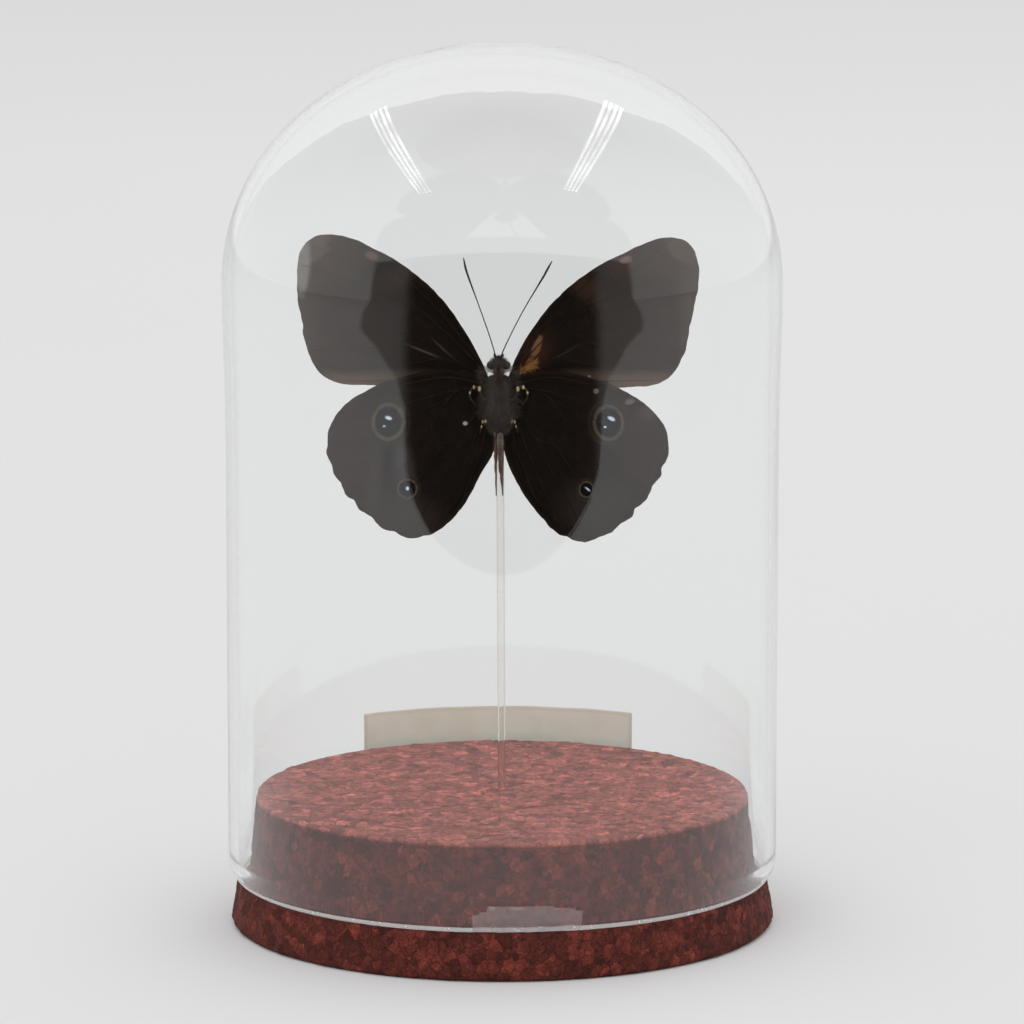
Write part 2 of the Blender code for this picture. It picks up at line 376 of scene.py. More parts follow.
def wall_radius(z, inset, widest, apex):
    """Radius of the wall at a height, moved in by inset from the outside."""
    if z < BULGE_Z:
        return CYLINDER_R + (widest - CYLINDER_R) * np.exp(-(((BULGE_Z - z) / BULGE_SPREAD) ** 2)) - inset
    rise = min((z - BULGE_Z) / (apex - inset - BULGE_Z), 1.0)
    return (widest - inset) * (1.0 - rise**CROWN_POWER) ** (1.0 / CROWN_POWER)


def dome_profile():
    low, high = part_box("glass_dome")
    widest, apex, rim_z = high.x, high.z, low.z

    def side(inset, foot):
        reach = apex - inset - BULGE_Z
        crown = BULGE_Z + reach * np.cos(np.linspace(0, pi / 2, 34))
        wall = np.concatenate((np.linspace(BULGE_Z, 20 * MM, 20)[1:], np.linspace(19.2 * MM, foot, 7)))
        points = [(wall_radius(z, inset, widest, apex), z) for z in (*crown, *wall)]
        return [(0.0, points[0][1])] + points[1:]

    outer = side(0.0, CURL_Z)
    outer += [(CYLINDER_R - CURL_IN * share, CURL_Z - CURL_DROP * share**0.7) for share in (0.3, 0.65, 1.0)]
    half = RIM_THICKNESS / 2
    rim = rounded(RIM_R, rim_z + half, half, 12, -192, 14)
    return outer + rim + side(WALL, CURL_Z + CURL_DROP / 2)[::-1]


def chip_depth(place):
    """How deep the flaked patch in the front of the rim goes at a place on the outer wall."""
    across = (degrees(atan2(place.x, -place.y)) - CHIP_MIDDLE) / CHIP_HALF
    if abs(across) >= 1 or Vector(place[:2]).length < RIM_R:
        return 0.0
    top = CHIP_TOP_Z + CHIP_SLOPE * noise.noise(Vector((across * 2.6, 3.0, 1.0))) - 2.6 * MM * across**4
    inside = min((top - place.z) / CHIP_SLOPE, 1.0) * min((1.0 - abs(across)) * 5.0, 1.0)
    if inside <= 0:
        return 0.0
    flakes = 0.55 + 0.45 * abs(sin(across * 7.5 + 0.8)) + 0.35 * noise.noise(place * 420)
    return CHIP_DEPTH * inside * max(flakes, 0.1)


def broken_glass(tint):
    """Fresh, shell-like break; its pale pinkish flakes are a painted reflection of the red cork, with painted
    highlights.
    """
    finish = Finish("broken_glass")
    where = finish.where()
    flakes, _ = finish.cells(where, 2.4, "SMOOTH_F1")
    ripples = finish.noise(where, 1.1, 3.0, 0.6, 1.0)
    # painted reflection and highlights: the flakes are tinted pale pink and made partly diffuse
    colour = finish.blend(finish.map(ripples, 0.45, 0.65), tint, (0.95, 0.80, 0.80))
    finish.set(Base_Color=colour, Roughness=0.08, IOR=GLASS_IOR, Transmission_Weight=0.86)
    finish.set(Normal=finish.bump(ripples, 0.5, 0.8, finish.bump(flakes, 0.9, 0.8)))
    return finish.let_lamps_through(tint).material


def polished_rim_painted_highlight(tint):
    """Fire-polished edge with a little dusty roughness; its partly diffuse, pale glass is a painted
    highlight, so that it reads as a pale line.
    """
    finish = Finish("polished_rim_painted_highlight")
    dust = finish.noise(finish.where(), 1.8, 4.0, 0.7)
    finish.set(Base_Color=tint, Roughness=finish.map(dust, 0.3, 0.7, 0.05, 0.3), IOR=GLASS_IOR)
    # painted highlight: the lowered transmission leaves pale diffuse glass along the rim
    finish.set(Transmission_Weight=0.72, Normal=finish.bump(dust, 0.05, 0.4))
    return finish.let_lamps_through(tint).material


def clear_glass(tint):
    finish = Finish("clear_glass")
    where = finish.where()
    waves = finish.noise(finish.stretched(where, (1.0, 1.0, 0.18)), 9.0, 2.0, 0.4)
    finish.set(Base_Color=tint, Roughness=0.0, IOR=GLASS_IOR, Transmission_Weight=1.0)
    finish.set(Normal=finish.bump(waves, 0.02, 0.5))
    return finish.let_lamps_through(tint).material


class GlassSettings(PropertyGroup):
    tint: FloatVectorProperty(
        name="Glass Tint", description="Colour of the clear glass", subtype="COLOR", min=0, max=1,
        default=(0.985, 0.992, 0.99),
    )
    steps: IntProperty(name="Steps", description="Steps round the turned dome", default=240, min=48, max=512)


class AddGlassDome(Operator):
    """Add the blown glass dome with its fire-polished, chipped rim"""

    bl_idname = "insect_dome.add_glass_dome"
    bl_label = "Glass Dome"

    def execute(self, context):
        settings = context.scene.insect_dome_glass
        points, faces = turned(dome_profile(), settings.steps)
        rim_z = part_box("glass_dome")[0].z
        shape, chipped = Shape(), []
        for point in points:
            place = Vector(point)
            outwards = Vector((place.x, place.y, 0.0)).normalized()
            wave = noise.noise(place * 28) + 0.5 * noise.noise(Vector((place.x, place.y, place.z * 0.3)) * 75)
            flake = chip_depth(place)
            chipped.append(flake > 0)
            shape.points.append(tuple(place + outwards * (wave * GLASS_WAVE - flake)))
        shape.faces = faces
        for face in faces:
            rim = all(points[i][2] < rim_z + RIM_TOP for i in face)
            shape.finishes.append(1 if all(chipped[i] for i in face) else 2 if rim else 0)
        materials = [clear_glass(settings.tint), broken_glass(settings.tint), polished_rim_painted_highlight(settings.tint)]
        dome = shape.build("glass_dome_blown", materials, "clear_glass", ["glass_dome"])
        dome.visible_diffuse = False
        return {"FINISHED"}


# ---------------------------------------------------------------- cork base

PLUG_TOP_R, PLUG_FOOT_R = 56.1 * MM, 57.8 * MM
FLANGE_TOP_R, FLANGE_FOOT_R = 60.3 * MM, 61.8 * MM
LEDGE_Z = 10.6 * MM
CORK_EDGE, CORK_FOOT_EDGE = 0.6 * MM, 1.6 * MM
HOLE_R, HOLE_Z = 1.15 * MM, 10.0 * MM
CORK_SPACING, CORK_STEPS = 0.75 * MM, 460  # between the points of its profile, and round it
PAINTED_TOP_LIGHT_LOW, PAINTED_TOP_LIGHT_HIGH = 28.8, 29.9  # mm up, where the side's dye gives way to the top's painted light
# how many times paler the top is painted, standing in for light from above
PAINTED_TOP_LIGHT = (3.1, 4.75, 5.6)


def evenly(profile, spacing):
    """The same profile with points no further apart than spacing."""
    made = [profile[0]]
    for (r0, z0), (r1, z1) in zip(profile, profile[1:]):
        count = max(1, round(np.hypot(r1 - r0, z1 - z0) / spacing))
        made += [(r0 + (r1 - r0) * i / count, z0 + (z1 - z0) * i / count) for i in range(1, count + 1)]
    return made


def cork_profile():
    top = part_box("cork_base")[1].z
    profile = [(0.0, HOLE_Z), (HOLE_R, HOLE_Z), (HOLE_R, top)]
    profile += rounded(PLUG_TOP_R - CORK_EDGE, top - CORK_EDGE, CORK_EDGE, 90, 0, 4)
    profile += [(PLUG_FOOT_R, LEDGE_Z)]
    profile += rounded(FLANGE_TOP_R - CORK_EDGE, LEDGE_Z - CORK_EDGE, CORK_EDGE, 90, 0, 4)
    profile += rounded(FLANGE_FOOT_R - CORK_FOOT_EDGE, CORK_FOOT_EDGE, CORK_FOOT_EDGE, 0, -90, 5)
    return profile + [(0.0, 0.0)]


def granule_relief(place, size):
    """Height of the pressed granules at a place, from -1 in the gaps to about 0.5 on the proudest ones."""
    distances, centres = noise.voronoi(place / size)
    gap = min((distances[1] - distances[0]) / 0.22, 1.0)
    proud = noise.cell(centres[0] * 7.3)
    pit = max(noise.noise(place * 95) - 0.28, 0.0) * 3.0
    return 0.5 * proud * gap - 0.45 * (1.0 - gap) - pit


def dyed_cork(colour, size):
    """Pressed and dyed cork granules: irregular grains, dark gaps, bark specks and a top painted paler, as if
    lit from above.
    """
    finish = Finish("dyed_cork")
    where = finish.where()
    drift = finish.node("TexNoise")
    finish.feed(drift.inputs["Vector"], where)
    drift.inputs["Scale"].default_value, drift.inputs["Detail"].default_value = 0.9, 3.0
    moved = finish.node("VectorMath", drift.outputs["Color"], (1.5, 1.5, 1.5), operation="MULTIPLY")
    bent = finish.node("VectorMath", where, moved.outputs[0], operation="ADD").outputs[0]
    width = size / MM
    edge, _ = finish.cells(bent, width, "DISTANCE_TO_EDGE")
    _, tone = finish.cells(bent, width)
    small_edge, _ = finish.cells(bent, width * 0.4, "DISTANCE_TO_EDGE")
    _, small_tone = finish.cells(bent, width * 0.4)
    grain = finish.noise(where, 0.4, 6.0, 0.75)
    cloud = finish.noise(where, 5.0, 5.0, 0.65)
    flecks = finish.noise(where, 1.1, 4.0, 0.7, 0.6)
    shades = ((0.0, 0.45), (0.3, 0.8), (0.65, 1.15), (1.0, 1.7))
    body = finish.ramp(tone, *((place, toned(colour, amount)) for place, amount in shades))
    body = finish.blend(0.55, body, finish.ramp(small_tone, (0.0, 0.35), (0.4, 0.9), (1.0, 1.7)), "MULTIPLY")
    body = finish.blend(1.0, body, finish.ramp(grain, (0.25, 0.5), (0.5, 1.0), (0.78, 1.5)), "MULTIPLY")
    body = finish.blend(1.0, body, finish.ramp(cloud, (0.3, 0.65), (0.7, 1.3)), "MULTIPLY")
    body = finish.blend(finish.ramp(flecks, (0.63, 0.0), (0.70, 0.75)), body, (0.022, 0.008, 0.006))
    body = finish.blend(finish.ramp(flecks, (0.26, 0.6), (0.33, 0.0)), body, (0.36, 0.13, 0.075))
    seam = finish.calc("MULTIPLY", finish.map(edge, 0.0, 0.06, 0.35), finish.map(small_edge, 0.0, 0.08, 0.6))
    body = finish.blend(seam, toned(colour, 0.3), body)
    height = finish.node("SeparateXYZ", where).outputs["Z"]
    # painted light: the top is made several times paler, as if lit from above
    body = finish.blend(finish.map(height, PAINTED_TOP_LIGHT_LOW, PAINTED_TOP_LIGHT_HIGH), body, PAINTED_TOP_LIGHT, "MULTIPLY")
    relief = finish.bump(seam, 0.3, 0.7)
    relief = finish.bump(grain, 0.25, 0.6, relief)
    relief = finish.bump(flecks, 0.3, 0.5, relief)
    return finish.set(Base_Color=body, Roughness=finish.map(grain, 0.2, 0.8, 0.95, 0.7), Normal=relief,
                      Specular_IOR_Level=0.25).material


class CorkSettings(PropertyGroup):
    colour: FloatVectorProperty(
        name="Dye", description="Colour of the dyed cork", subtype="COLOR", min=0, max=1,
        default=(0.125, 0.023, 0.015),
    )
    granule: FloatProperty(
        name="Granule Size", description="Width of the larger cork granules", default=2.6 * MM, min=0.5 * MM,
        max=10 * MM, unit="LENGTH", precision=4,
    )
    relief: FloatProperty(
        name="Relief", description="How far the granules stand proud of their gaps", default=0.32 * MM, min=0,
        max=1.0 * MM, unit="LENGTH", precision=5,
    )


class AddCorkBase(Operator):
    """Add the stepped base of pressed cork granules"""

    bl_idname = "insect_dome.add_cork_base"
    bl_label = "Cork Base"

    def execute(self, context):
        settings = context.scene.insect_dome_cork
        points, faces = turned(evenly(cork_profile(), CORK_SPACING), CORK_STEPS)
        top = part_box("cork_base")[1].z
        near = 0.05 * MM
        shape = Shape()
        for point in points:
            place = Vector(point)
            if place.z > 0.4 * MM and Vector(point[:2]).length > HOLE_R * 1.05:
                on_ledge, on_top = abs(place.z - LEDGE_Z) < near, place.z > top - near
                outwards = Vector((place.x, place.y, 0.0)).normalized() * (0.0 if on_ledge else 1.0)
                away = Vector((0, 0, 1)) if on_top else outwards
                place = place + away * granule_relief(place, settings.granule) * settings.relief
            shape.points.append(tuple(place))
        shape.faces, shape.finishes = faces, [0] * len(faces)
        cork = dyed_cork(settings.colour, settings.granule)
        shape.build("cork_base_pressed", [cork], "dyed_cork", ["cork_base"])
        return {"FINISHED"}


# ---------------------------------------------------------------- rod and label

ROD_R = 0.85 * MM
LABEL_ANGLES = (-32.5, 30.0)  # degrees about the back
LABEL_THICKNESS = 0.25 * MM
LABEL_GAP = 0.2 * MM


def clear_rod(tint):
    finish = Finish("clear_rod")
    lines = finish.noise(finish.stretched(finish.where(), (3.0, 3.0, 0.04)), 1.0, 2.0)
    # painted shade: the rod's colour darkens towards its outline, standing in for the dark refraction at its
    # edges
    facing = finish.node("LayerWeight").outputs["Facing"]
    painted_edge_shade = finish.blend(finish.map(facing, 0.15, 0.85), tint, toned(tint, 0.30))
    finish.set(Base_Color=painted_edge_shade, Roughness=0.0, IOR=ROD_IOR, Transmission_Weight=1.0)
    finish.set(Normal=finish.bump(lines, 0.01, 0.4))
    return finish.let_lamps_through(tint).material


def label_paper(colour):
    finish = Finish("label_paper")
    where = finish.where()
    fibres = finish.noise(finish.stretched(where, (1.0, 1.0, 3.0)), 0.5, 6.0, 0.75)
    stains = finish.noise(where, 11.0, 4.0, 0.6)
    worn = finish.map(finish.field("edge"), 0.0, 1.4, 1.0, 0.0)
    paper = finish.blend(finish.ramp(fibres, (0.3, 0.0), (0.7, 0.35)), colour, toned(colour, 0.72))
    paper = finish.blend(finish.ramp(stains, (0.45, 0.0), (0.75, 0.3)), paper, (0.62, 0.53, 0.36))
    paper = finish.blend(finish.calc("MULTIPLY", worn, 0.35), paper, (0.50, 0.43, 0.3))
    return finish.set(Base_Color=paper, Roughness=0.85, Specular_IOR_Level=0.3,
                      Normal=finish.bump(fibres, 0.06, 0.6)).material


class TrimSettings(PropertyGroup):
    rod_tint: FloatVectorProperty(
        name="Rod Tint", description="Colour of the clear rod", subtype="COLOR", min=0, max=1,
        default=(0.93, 0.90, 0.86),
    )
    paper: FloatVectorProperty(
        name="Paper", description="Colour of the aged label", subtype="COLOR", min=0, max=1,
        default=(0.93, 0.90, 0.77),
    )


class AddMountingRod(Operator):
    """Add the clear rod that stands in the cork and holds the butterfly"""

    bl_idname = "insect_dome.add_mounting_rod"
    bl_label = "Mounting Rod"

    def execute(self, context):
        low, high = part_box("mounting_rod")
        foot = np.array((0.0, 0.0, low.z))
        top = np.array((low.x + ROD_R, 0.0, high.z))
        shares = np.concatenate(([0.0, 0.002], np.linspace(0.004, 0.992, 40), [0.995, 0.998, 1.0]))
        path = foot + (top - foot) * shares[:, None]
        size = np.ones(len(shares))
        size[0], size[-3:] = 0.9, (0.94, 0.72, 0.3)
        shape = Shape()
        points, faces, _, _ = tube(path, ROD_R * size, 40)
        shape.add(points, faces)
        tint = context.scene.insect_dome_trim.rod_tint
        rod = shape.build("mounting_rod_clear", [clear_rod(tint)], "clear_rod", ["mounting_rod"])
        rod.visible_diffuse = False
        return {"FINISHED"}


class AddPaperLabel(Operator):
    """Add the blank, aged paper label on the back of the glass"""

    bl_idname = "insect_dome.add_paper_label"
    bl_label = "Paper Label"

    def execute(self, context):
        low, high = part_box("paper_label")
        columns, rows = 170, 36
        across, up = np.meshgrid(np.linspace(0, 1, columns), np.linspace(0, 1, rows))
        length = radians(LABEL_ANGLES[1] - LABEL_ANGLES[0]) * CYLINDER_R
        height = high.z - low.z
        ends = np.minimum(across, 1 - across) * length
        sides = np.minimum(up, 1 - up) * height
        edge = np.minimum(ends, sides)
        wander = np.array([noise.noise(Vector((a * 9, u * 3, 4.0))) for a, u in zip(across.flat, up.flat)])
        wander = wander.reshape(across.shape) * 0.12 * MM
        first, last = np.radians(LABEL_ANGLES)
        angles = first + (last - first) * across + wander / CYLINDER_R
        z = low.z + height * up + wander * (edge < 0.8 * MM)
        lift = LABEL_GAP + np.exp(-edge / (1.2 * MM)) * 0.05 * MM
        shape, layers = Shape(), []
        for outer in (0.0, LABEL_THICKNESS):
            radius = CYLINDER_R + lift + outer
            x, y = radius * np.sin(angles), radius * np.cos(angles)
            layers.append(np.column_stack((x.flat, y.flat, z.flat)))
        count = rows * columns
        inside = grid_faces(rows, columns, closed=False)
        faces = inside + [tuple(count + i for i in face[::-1]) for face in inside]
        border = list(range(columns)) + [r * columns + columns - 1 for r in range(1, rows)]
        border += [(rows - 1) * columns + c for c in range(columns - 2, -1, -1)]
        border += [r * columns for r in range(rows - 2, 0, -1)]
        faces += [(b, a, count + a, count + b) for a, b in zip(border, border[1:] + border[:1])]
        shape.add(np.vstack(layers), faces, edge=np.tile(edge.flatten() / MM, 2))
        paper = label_paper(context.scene.insect_dome_trim.paper)
        shape.build("paper_label_blank", [paper], "label_paper", ["paper_label"])
        return {"FINISHED"}


# ---------------------------------------------------------------- wings

WING_ROOT = (1.6, 1.0)  # every vein and scale row fans out from here: outwards and up
COLUMN_SPACING = 0.45 * MM
WING_RINGS = 88
MEMBRANE = 0.14  # thickness in mm

# Veins as (outwards, up) points in mm
FOREWING_VEINS = (
    ((3.0, 4.6), (10.0, 13.6), (18.0, 22.2), (25.0, 28.4)),
    ((3.0, 3.8), (10.5, 11.5), (17.0, 17.3), (25.0, 24.6), (31.5, 31.2)),
    ((17.0, 17.3), (20.0, 19.5), (29.0, 25.8), (37.0, 30.4), (42.4, 32.4)),
    ((29.0, 25.8), (34.5, 30.0), (38.4, 33.6)),
    ((20.4, 18.6), (30.0, 23.0), (38.0, 26.2), (44.6, 28.0)),
    ((21.0, 16.5), (31.0, 19.0), (39.0, 20.8), (44.8, 21.6)),
    ((20.6, 13.0), (30.0, 14.0), (38.0, 14.6), (43.6, 14.8)),
    ((19.0, 10.5), (28.0, 9.6), (36.0, 9.2), (42.2, 8.9)),
    ((12.5, 7.2), (22.0, 5.4), (32.0, 4.4), (40.2, 4.0)),
    ((3.0, 2.2), (12.0, 2.0), (24.0, 1.7), (37.0, 1.8)),
    (
        (3.0, 3.0), (8.0, 5.2), (12.5, 7.2), (19.0, 10.5), (20.6, 13.0), (21.0, 16.5), (20.4, 18.6),
        (20.0, 19.5),
    ),
)
HINDWING_VEINS = (
    ((3.5, 1.5), (12.0, 2.9), (22.0, 1.0), (30.5, -2.0)),
    ((3.5, 0.4), (9.0, 0.2), (18.0, -2.2), (28.0, -5.0), (36.6, -7.6)),
    ((11.0, -1.6), (20.0, -6.0), (30.0, -10.3), (38.0, -12.8)),
    ((15.0, -7.5), (23.0, -12.5), (31.0, -17.0), (36.6, -19.6)),
    ((14.5, -10.5), (21.0, -17.0), (28.0, -22.4), (33.0, -25.0)),
    ((12.5, -12.2), (17.0, -19.0), (22.5, -26.0), (27.2, -29.8)),
    ((8.5, -11.0), (12.0, -18.5), (16.5, -27.0), (19.6, -33.0)),
    ((3.0, -4.0), (5.5, -11.0), (9.0, -20.0), (13.2, -30.2)),
    ((2.8, -5.0), (3.6, -12.0), (6.0, -19.0), (8.6, -26.0)),
    (
        (3.0, -2.0), (6.0, -6.5), (8.5, -11.0), (12.5, -12.2), (14.5, -10.5), (15.0, -7.5), (11.0, -1.6),
        (9.0, 0.2),
    ),
)

# Notches (negative) and lobes of each margin: outwards, up, height and half width in mm
MARGINS = {
    "forewing_left": (
        (45.3, 30.4, 0.25, 1.2), (45.0, 24.0, -0.2, 1.4), (44.8, 19.0, 0.15, 1.6), (44.4, 14.6, -0.2, 1.2),
    ),
    "forewing_right": (
        (44.1, 30.0, -0.5, 0.5), (45.3, 27.0, 0.2, 1.2), (44.2, 20.0, -0.2, 1.4), (43.0, 14.2, -0.15, 1.3),
    ),
    "hindwing_left": (
        (38.9, -14.6, 0.35, 1.0), (37.4, -17.2, -0.3, 0.9), (37.0, -19.2, 0.3, 1.0),
        (35.5, -21.3, -0.55, 0.8), (34.7, -24.2, 0.45, 1.1), (32.9, -25.6, -0.4, 0.8),
        (31.5, -27.4, 0.45, 1.0), (28.9, -29.6, -0.45, 0.9), (26.2, -31.6, 0.35, 1.2),
        (23.6, -33.0, -0.3, 0.8), (20.6, -34.2, 0.3, 1.4), (17.0, -33.9, -0.2, 0.9),
        (12.4, -29.9, -0.35, 0.8), (11.2, -28.6, 0.3, 1.0),
    ),
    "hindwing_right": (
        (38.4, -14.9, 0.35, 1.0), (37.1, -17.9, -0.45, 0.9), (36.8, -19.9, 0.35, 0.9),
        (34.9, -22.0, -0.4, 0.9), (33.9, -25.8, 0.45, 1.1), (31.2, -27.3, -0.5, 0.8),
        (30.0, -29.0, 0.4, 1.0), (27.6, -30.6, -0.3, 0.9), (25.3, -32.3, 0.3, 1.0),
        (22.9, -33.9, -0.25, 0.9), (19.6, -34.6, 0.25, 1.5), (15.4, -34.0, -0.25, 0.9),
        (11.6, -31.2, 0.2, 1.0),
    ),
}


class Wing:
    """One wing's outline, plane and relief, in mm outwards from the body line and upwards from the roots."""

    def __init__(self, node, side):
        self.node, self.side = node, side
        self.fore = node.startswith("forewing")
        outline = self.read_outline()
        slope, base = np.polyfit(outline[:, 0], outline[:, 2], 1)
        self.depth = (base, slope)
        self.outline = self.shaped(outline[:, :2])

    def read_outline(self):
        """The front face's border as (outwards, up, y) rows, in order round the wing."""
        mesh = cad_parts[self.node].data
        borders = set()
        for face in mesh.polygons:
            if face.normal.y < -0.9:
                corners = [tuple(round(c / MM, 4) for c in mesh.vertices[i].co) for i in face.vertices]
                for edge in zip(corners, corners[1:] + corners[:1]):
                    if edge[::-1] in borders:
                        borders.remove(edge[::-1])
                    else:
                        borders.add(edge)
        follows = dict(borders)
        place = start = min(follows)
        ring = []
        while not ring or place != start:
            ring.append(place)
            place = follows[place]
        body = np.array(BODY) / MM
        ring = np.array(ring)
        return np.column_stack(((ring[:, 0] - body[0]) * self.side, ring[:, 2] - body[2], ring[:, 1]))

    def shaped(self, ring):
        """The outline with even, softened points, and its own notches, lobes and fine fray."""
        closed = np.vstack((ring, ring[:1]))
        run = np.concatenate(([0.0], np.cumsum(np.linalg.norm(np.diff(closed, axis=0), axis=1))))
        count = round(run[-1] * MM / COLUMN_SPACING)
        places = np.linspace(0, run[-1], count, endpoint=False)
        even = np.column_stack([np.interp(places, run, closed[:, axis]) for axis in (0, 1)])
        for _ in range(6):
            even = 0.25 * np.roll(even, 1, 0) + 0.5 * even + 0.25 * np.roll(even, -1, 0)
        area = np.sum(even[:, 0] * np.roll(even[:, 1], -1) - even[:, 1] * np.roll(even[:, 0], -1))
        if area * self.side < 0:
            even = even[::-1]
        along = unit(np.roll(even, -1, 0) - np.roll(even, 1, 0))
        outwards = np.column_stack((along[:, 1], -along[:, 0])) * self.side
        height = np.zeros(len(even))
        for out, up, lobe, width in MARGINS[self.node]:
            height += lobe * np.exp(-np.sum((even - (out, up)) ** 2, axis=1) / width**2)
        seed = len(self.node) + self.side * 3.7
        margin = np.clip((np.linalg.norm(even, axis=1) - 14) / 12, 0, 1)
        broad, fine = (np.array([noise.noise(Vector((o * scale, u * scale, seed))) for o, u in even])
                       for scale in (0.55, 2.2))
        return even + outwards * (height + (broad + 0.5 * fine) * 0.16 * margin)[:, None]

    def relief(self, out, up):
        """How far the membrane stands off its plane: camber, shallow pleats and a slight flutter."""
        reach, angle = np.hypot(out, up), np.arctan2(up, out)
        grown = np.clip(reach / 40, 0, 1)
        camber = 0.55 * np.sin(grown * pi) * (1 if self.fore else -0.6)
        pleats = 0.11 * np.sin(angle * 27 + 0.6) * np.clip((reach - 6) / 12, 0, 1)
        flutter = 0.30 * np.sin(out * 0.17 + up * 0.11 + self.side) * grown
        return camber + pleats + flutter

    def frame_points(self, plane, lift=0.0):
        """Places in the frame for (outwards, up) points, lifted towards the back by mm."""
        out, up = plane[:, 0], plane[:, 1]
        base, slope = self.depth
        depth = base + slope * out + self.relief(out, up) + lift
        return MM * np.column_stack((BODY.x / MM + self.side * out, depth, BODY.z / MM + up))

    def membrane(self):
        """Both faces of the membrane as a fan of rings from the root, with its distance to the margin."""
        shares = np.linspace(0, 1, WING_RINGS + 1)[1:]
        root = np.array(WING_ROOT)
        plane = (root + (self.outline[None] - root) * shares[:, None, None]).reshape(-1, 2)
        plane = np.vstack((plane, root))
        margin = np.min(np.linalg.norm(plane[:, None] - self.outline[None, ::2], axis=2), axis=1)
        columns = len(self.outline)
        thin = MEMBRANE * np.clip(margin / 1.2, 0.25, 1)
        faces = [face[::-1] for face in grid_faces(WING_RINGS, columns)]
        faces += [(len(plane) - 1, c, (c + 1) % columns) for c in range(columns)]
        front = [face[::-1] for face in faces]
        last = (WING_RINGS - 1) * columns
        total = len(plane)
        rim = [(last + c, last + (c + 1) % columns, total + last + (c + 1) % columns, total + last + c)
               for c in range(columns)]
        points = np.vstack((self.frame_points(plane), self.frame_points(plane, thin)))
        return points, front, [tuple(i + total for i in face) for face in faces], rim, np.tile(margin, 2)

    def vein(self, route, lift):
        """A thin tapering ridge along a vein, on the front (lift 0) or the back face."""
        plane = smooth_path(route, 14 * len(route))
        path = self.frame_points(plane, lift)
        reach = np.linalg.norm(plane, axis=1)
        radii = MM * np.interp(reach, (3, 20, 42), (0.17, 0.10, 0.05))
        radii[[0, -1]] *= 0.3
        return tube(path, radii, 6)


# Coloured marks on the undersides: outwards, up, radii in mm, turn in degrees, softness, fray and colour
WING_PATCHES = {
    "forewing_left": (
        (41.0, 31.0, 11.0, 7.0, -20, 0.5, 0.9, (0.045, 0.028, 0.020)),
        (44.2, 32.4, 7.0, 4.0, -28, 0.25, 1.4, (0.095, 0.068, 0.053)),
        (44.6, 16.0, 3.0, 14.0, 0, 0.7, 0.9, (0.045, 0.029, 0.021)),
        (44.6, 28.6, 1.9, 6.6, 2, 0.4, 0.7, (0.210, 0.195, 0.180)),
        (28.7, 30.2, 1.5, 0.9, 20, 0.5, 0.5, (0.120, 0.080, 0.060)),
        (34.3, 25.9, 1.3, 1.0, 0, 0.7, 0.5, (0.040, 0.028, 0.022)),
        (22.0, 26.0, 6.0, 2.2, -38, 0.7, 0.6, (0.030, 0.015, 0.010)),
        (17.0, 8.5, 0.25, 3.6, -68, 0.6, 0.4, (0.060, 0.042, 0.032)),
        (12.5, 9.0, 0.22, 3.2, -48, 0.6, 0.4, (0.045, 0.032, 0.024)),
        (7.0, 3.2, 1.6, 0.7, 20, 0.7, 1.2, (0.060, 0.022, 0.010)),
    ),
    "forewing_right": (
        (40.0, 30.6, 11.0, 6.4, 20, 0.5, 0.9, (0.045, 0.028, 0.020)),
        (43.2, 32.0, 6.6, 3.6, 24, 0.25, 1.4, (0.085, 0.060, 0.046)),
        (43.8, 18.0, 2.6, 12.0, 0, 0.7, 0.9, (0.060, 0.040, 0.030)),
        (28.4, 28.6, 4.0, 2.6, -30, 0.8, 0.8, (0.040, 0.017, 0.011)),
        (28.8, 29.3, 1.4, 0.8, -15, 0.4, 0.6, (0.170, 0.100, 0.070)),
        (19.9, 22.9, 5.0, 2.4, 40, 0.7, 0.8, (0.036, 0.018, 0.011)),
        (20.5, 2.8, 0.35, 0.3, 0, 0.5, 0.3, (0.300, 0.220, 0.160)),
        (7.6, 7.0, 2.8, 5.6, 28, 0.8, 1.0, (0.040, 0.014, 0.007)),
        (8.6, 9.6, 0.9, 2.6, 22, 0.25, 1.2, (0.190, 0.085, 0.045)),
        (7.0, 6.2, 0.7, 1.5, 30, 0.3, 1.4, (0.150, 0.060, 0.020)),
        (15.6, 8.6, 0.22, 3.2, 62, 0.6, 0.4, (0.050, 0.036, 0.028)),
    ),
    "hindwing_left": (
        (35.0, -12.0, 5.5, 12.0, 0, 0.6, 0.8, (0.026, 0.016, 0.013)),
        (28.4, -21.0, 1.8, 9.0, 4, 0.6, 0.5, (0.034, 0.024, 0.020)),
        (21.5, -18.0, 2.3, 6.0, -6, 0.5, 0.5, (0.036, 0.031, 0.029)),
        (22.0, -29.0, 8.0, 4.6, 10, 0.7, 0.8, (0.030, 0.022, 0.019)),
        (25.2, -14.4, 1.2, 8.0, 3, 0.7, 0.6, (0.0045, 0.0032, 0.0026)),
        (35.6, -0.8, 3.0, 2.4, 30, 0.7, 1.0, (0.055, 0.040, 0.033)),
        (7.6, -7.6, 0.5, 0.42, 0, 0.4, 0.5, (0.450, 0.420, 0.360)),
    ),
    "hindwing_right": (
        (34.5, -13.0, 5.0, 12.0, 0, 0.6, 0.8, (0.024, 0.014, 0.012)),
        (22.0, -27.0, 7.0, 6.0, -10, 0.7, 0.8, (0.026, 0.020, 0.018)),
        (22.1, -0.3, 0.6, 0.55, 0, 0.45, 0.8, (0.140, 0.115, 0.100)),
        (29.7, -2.8, 1.1, 0.7, -20, 0.5, 0.9, (0.130, 0.105, 0.092)),
        (34.0, -5.3, 2.4, 1.6, -35, 0.8, 1.0, (0.055, 0.043, 0.038)),
    ),
}

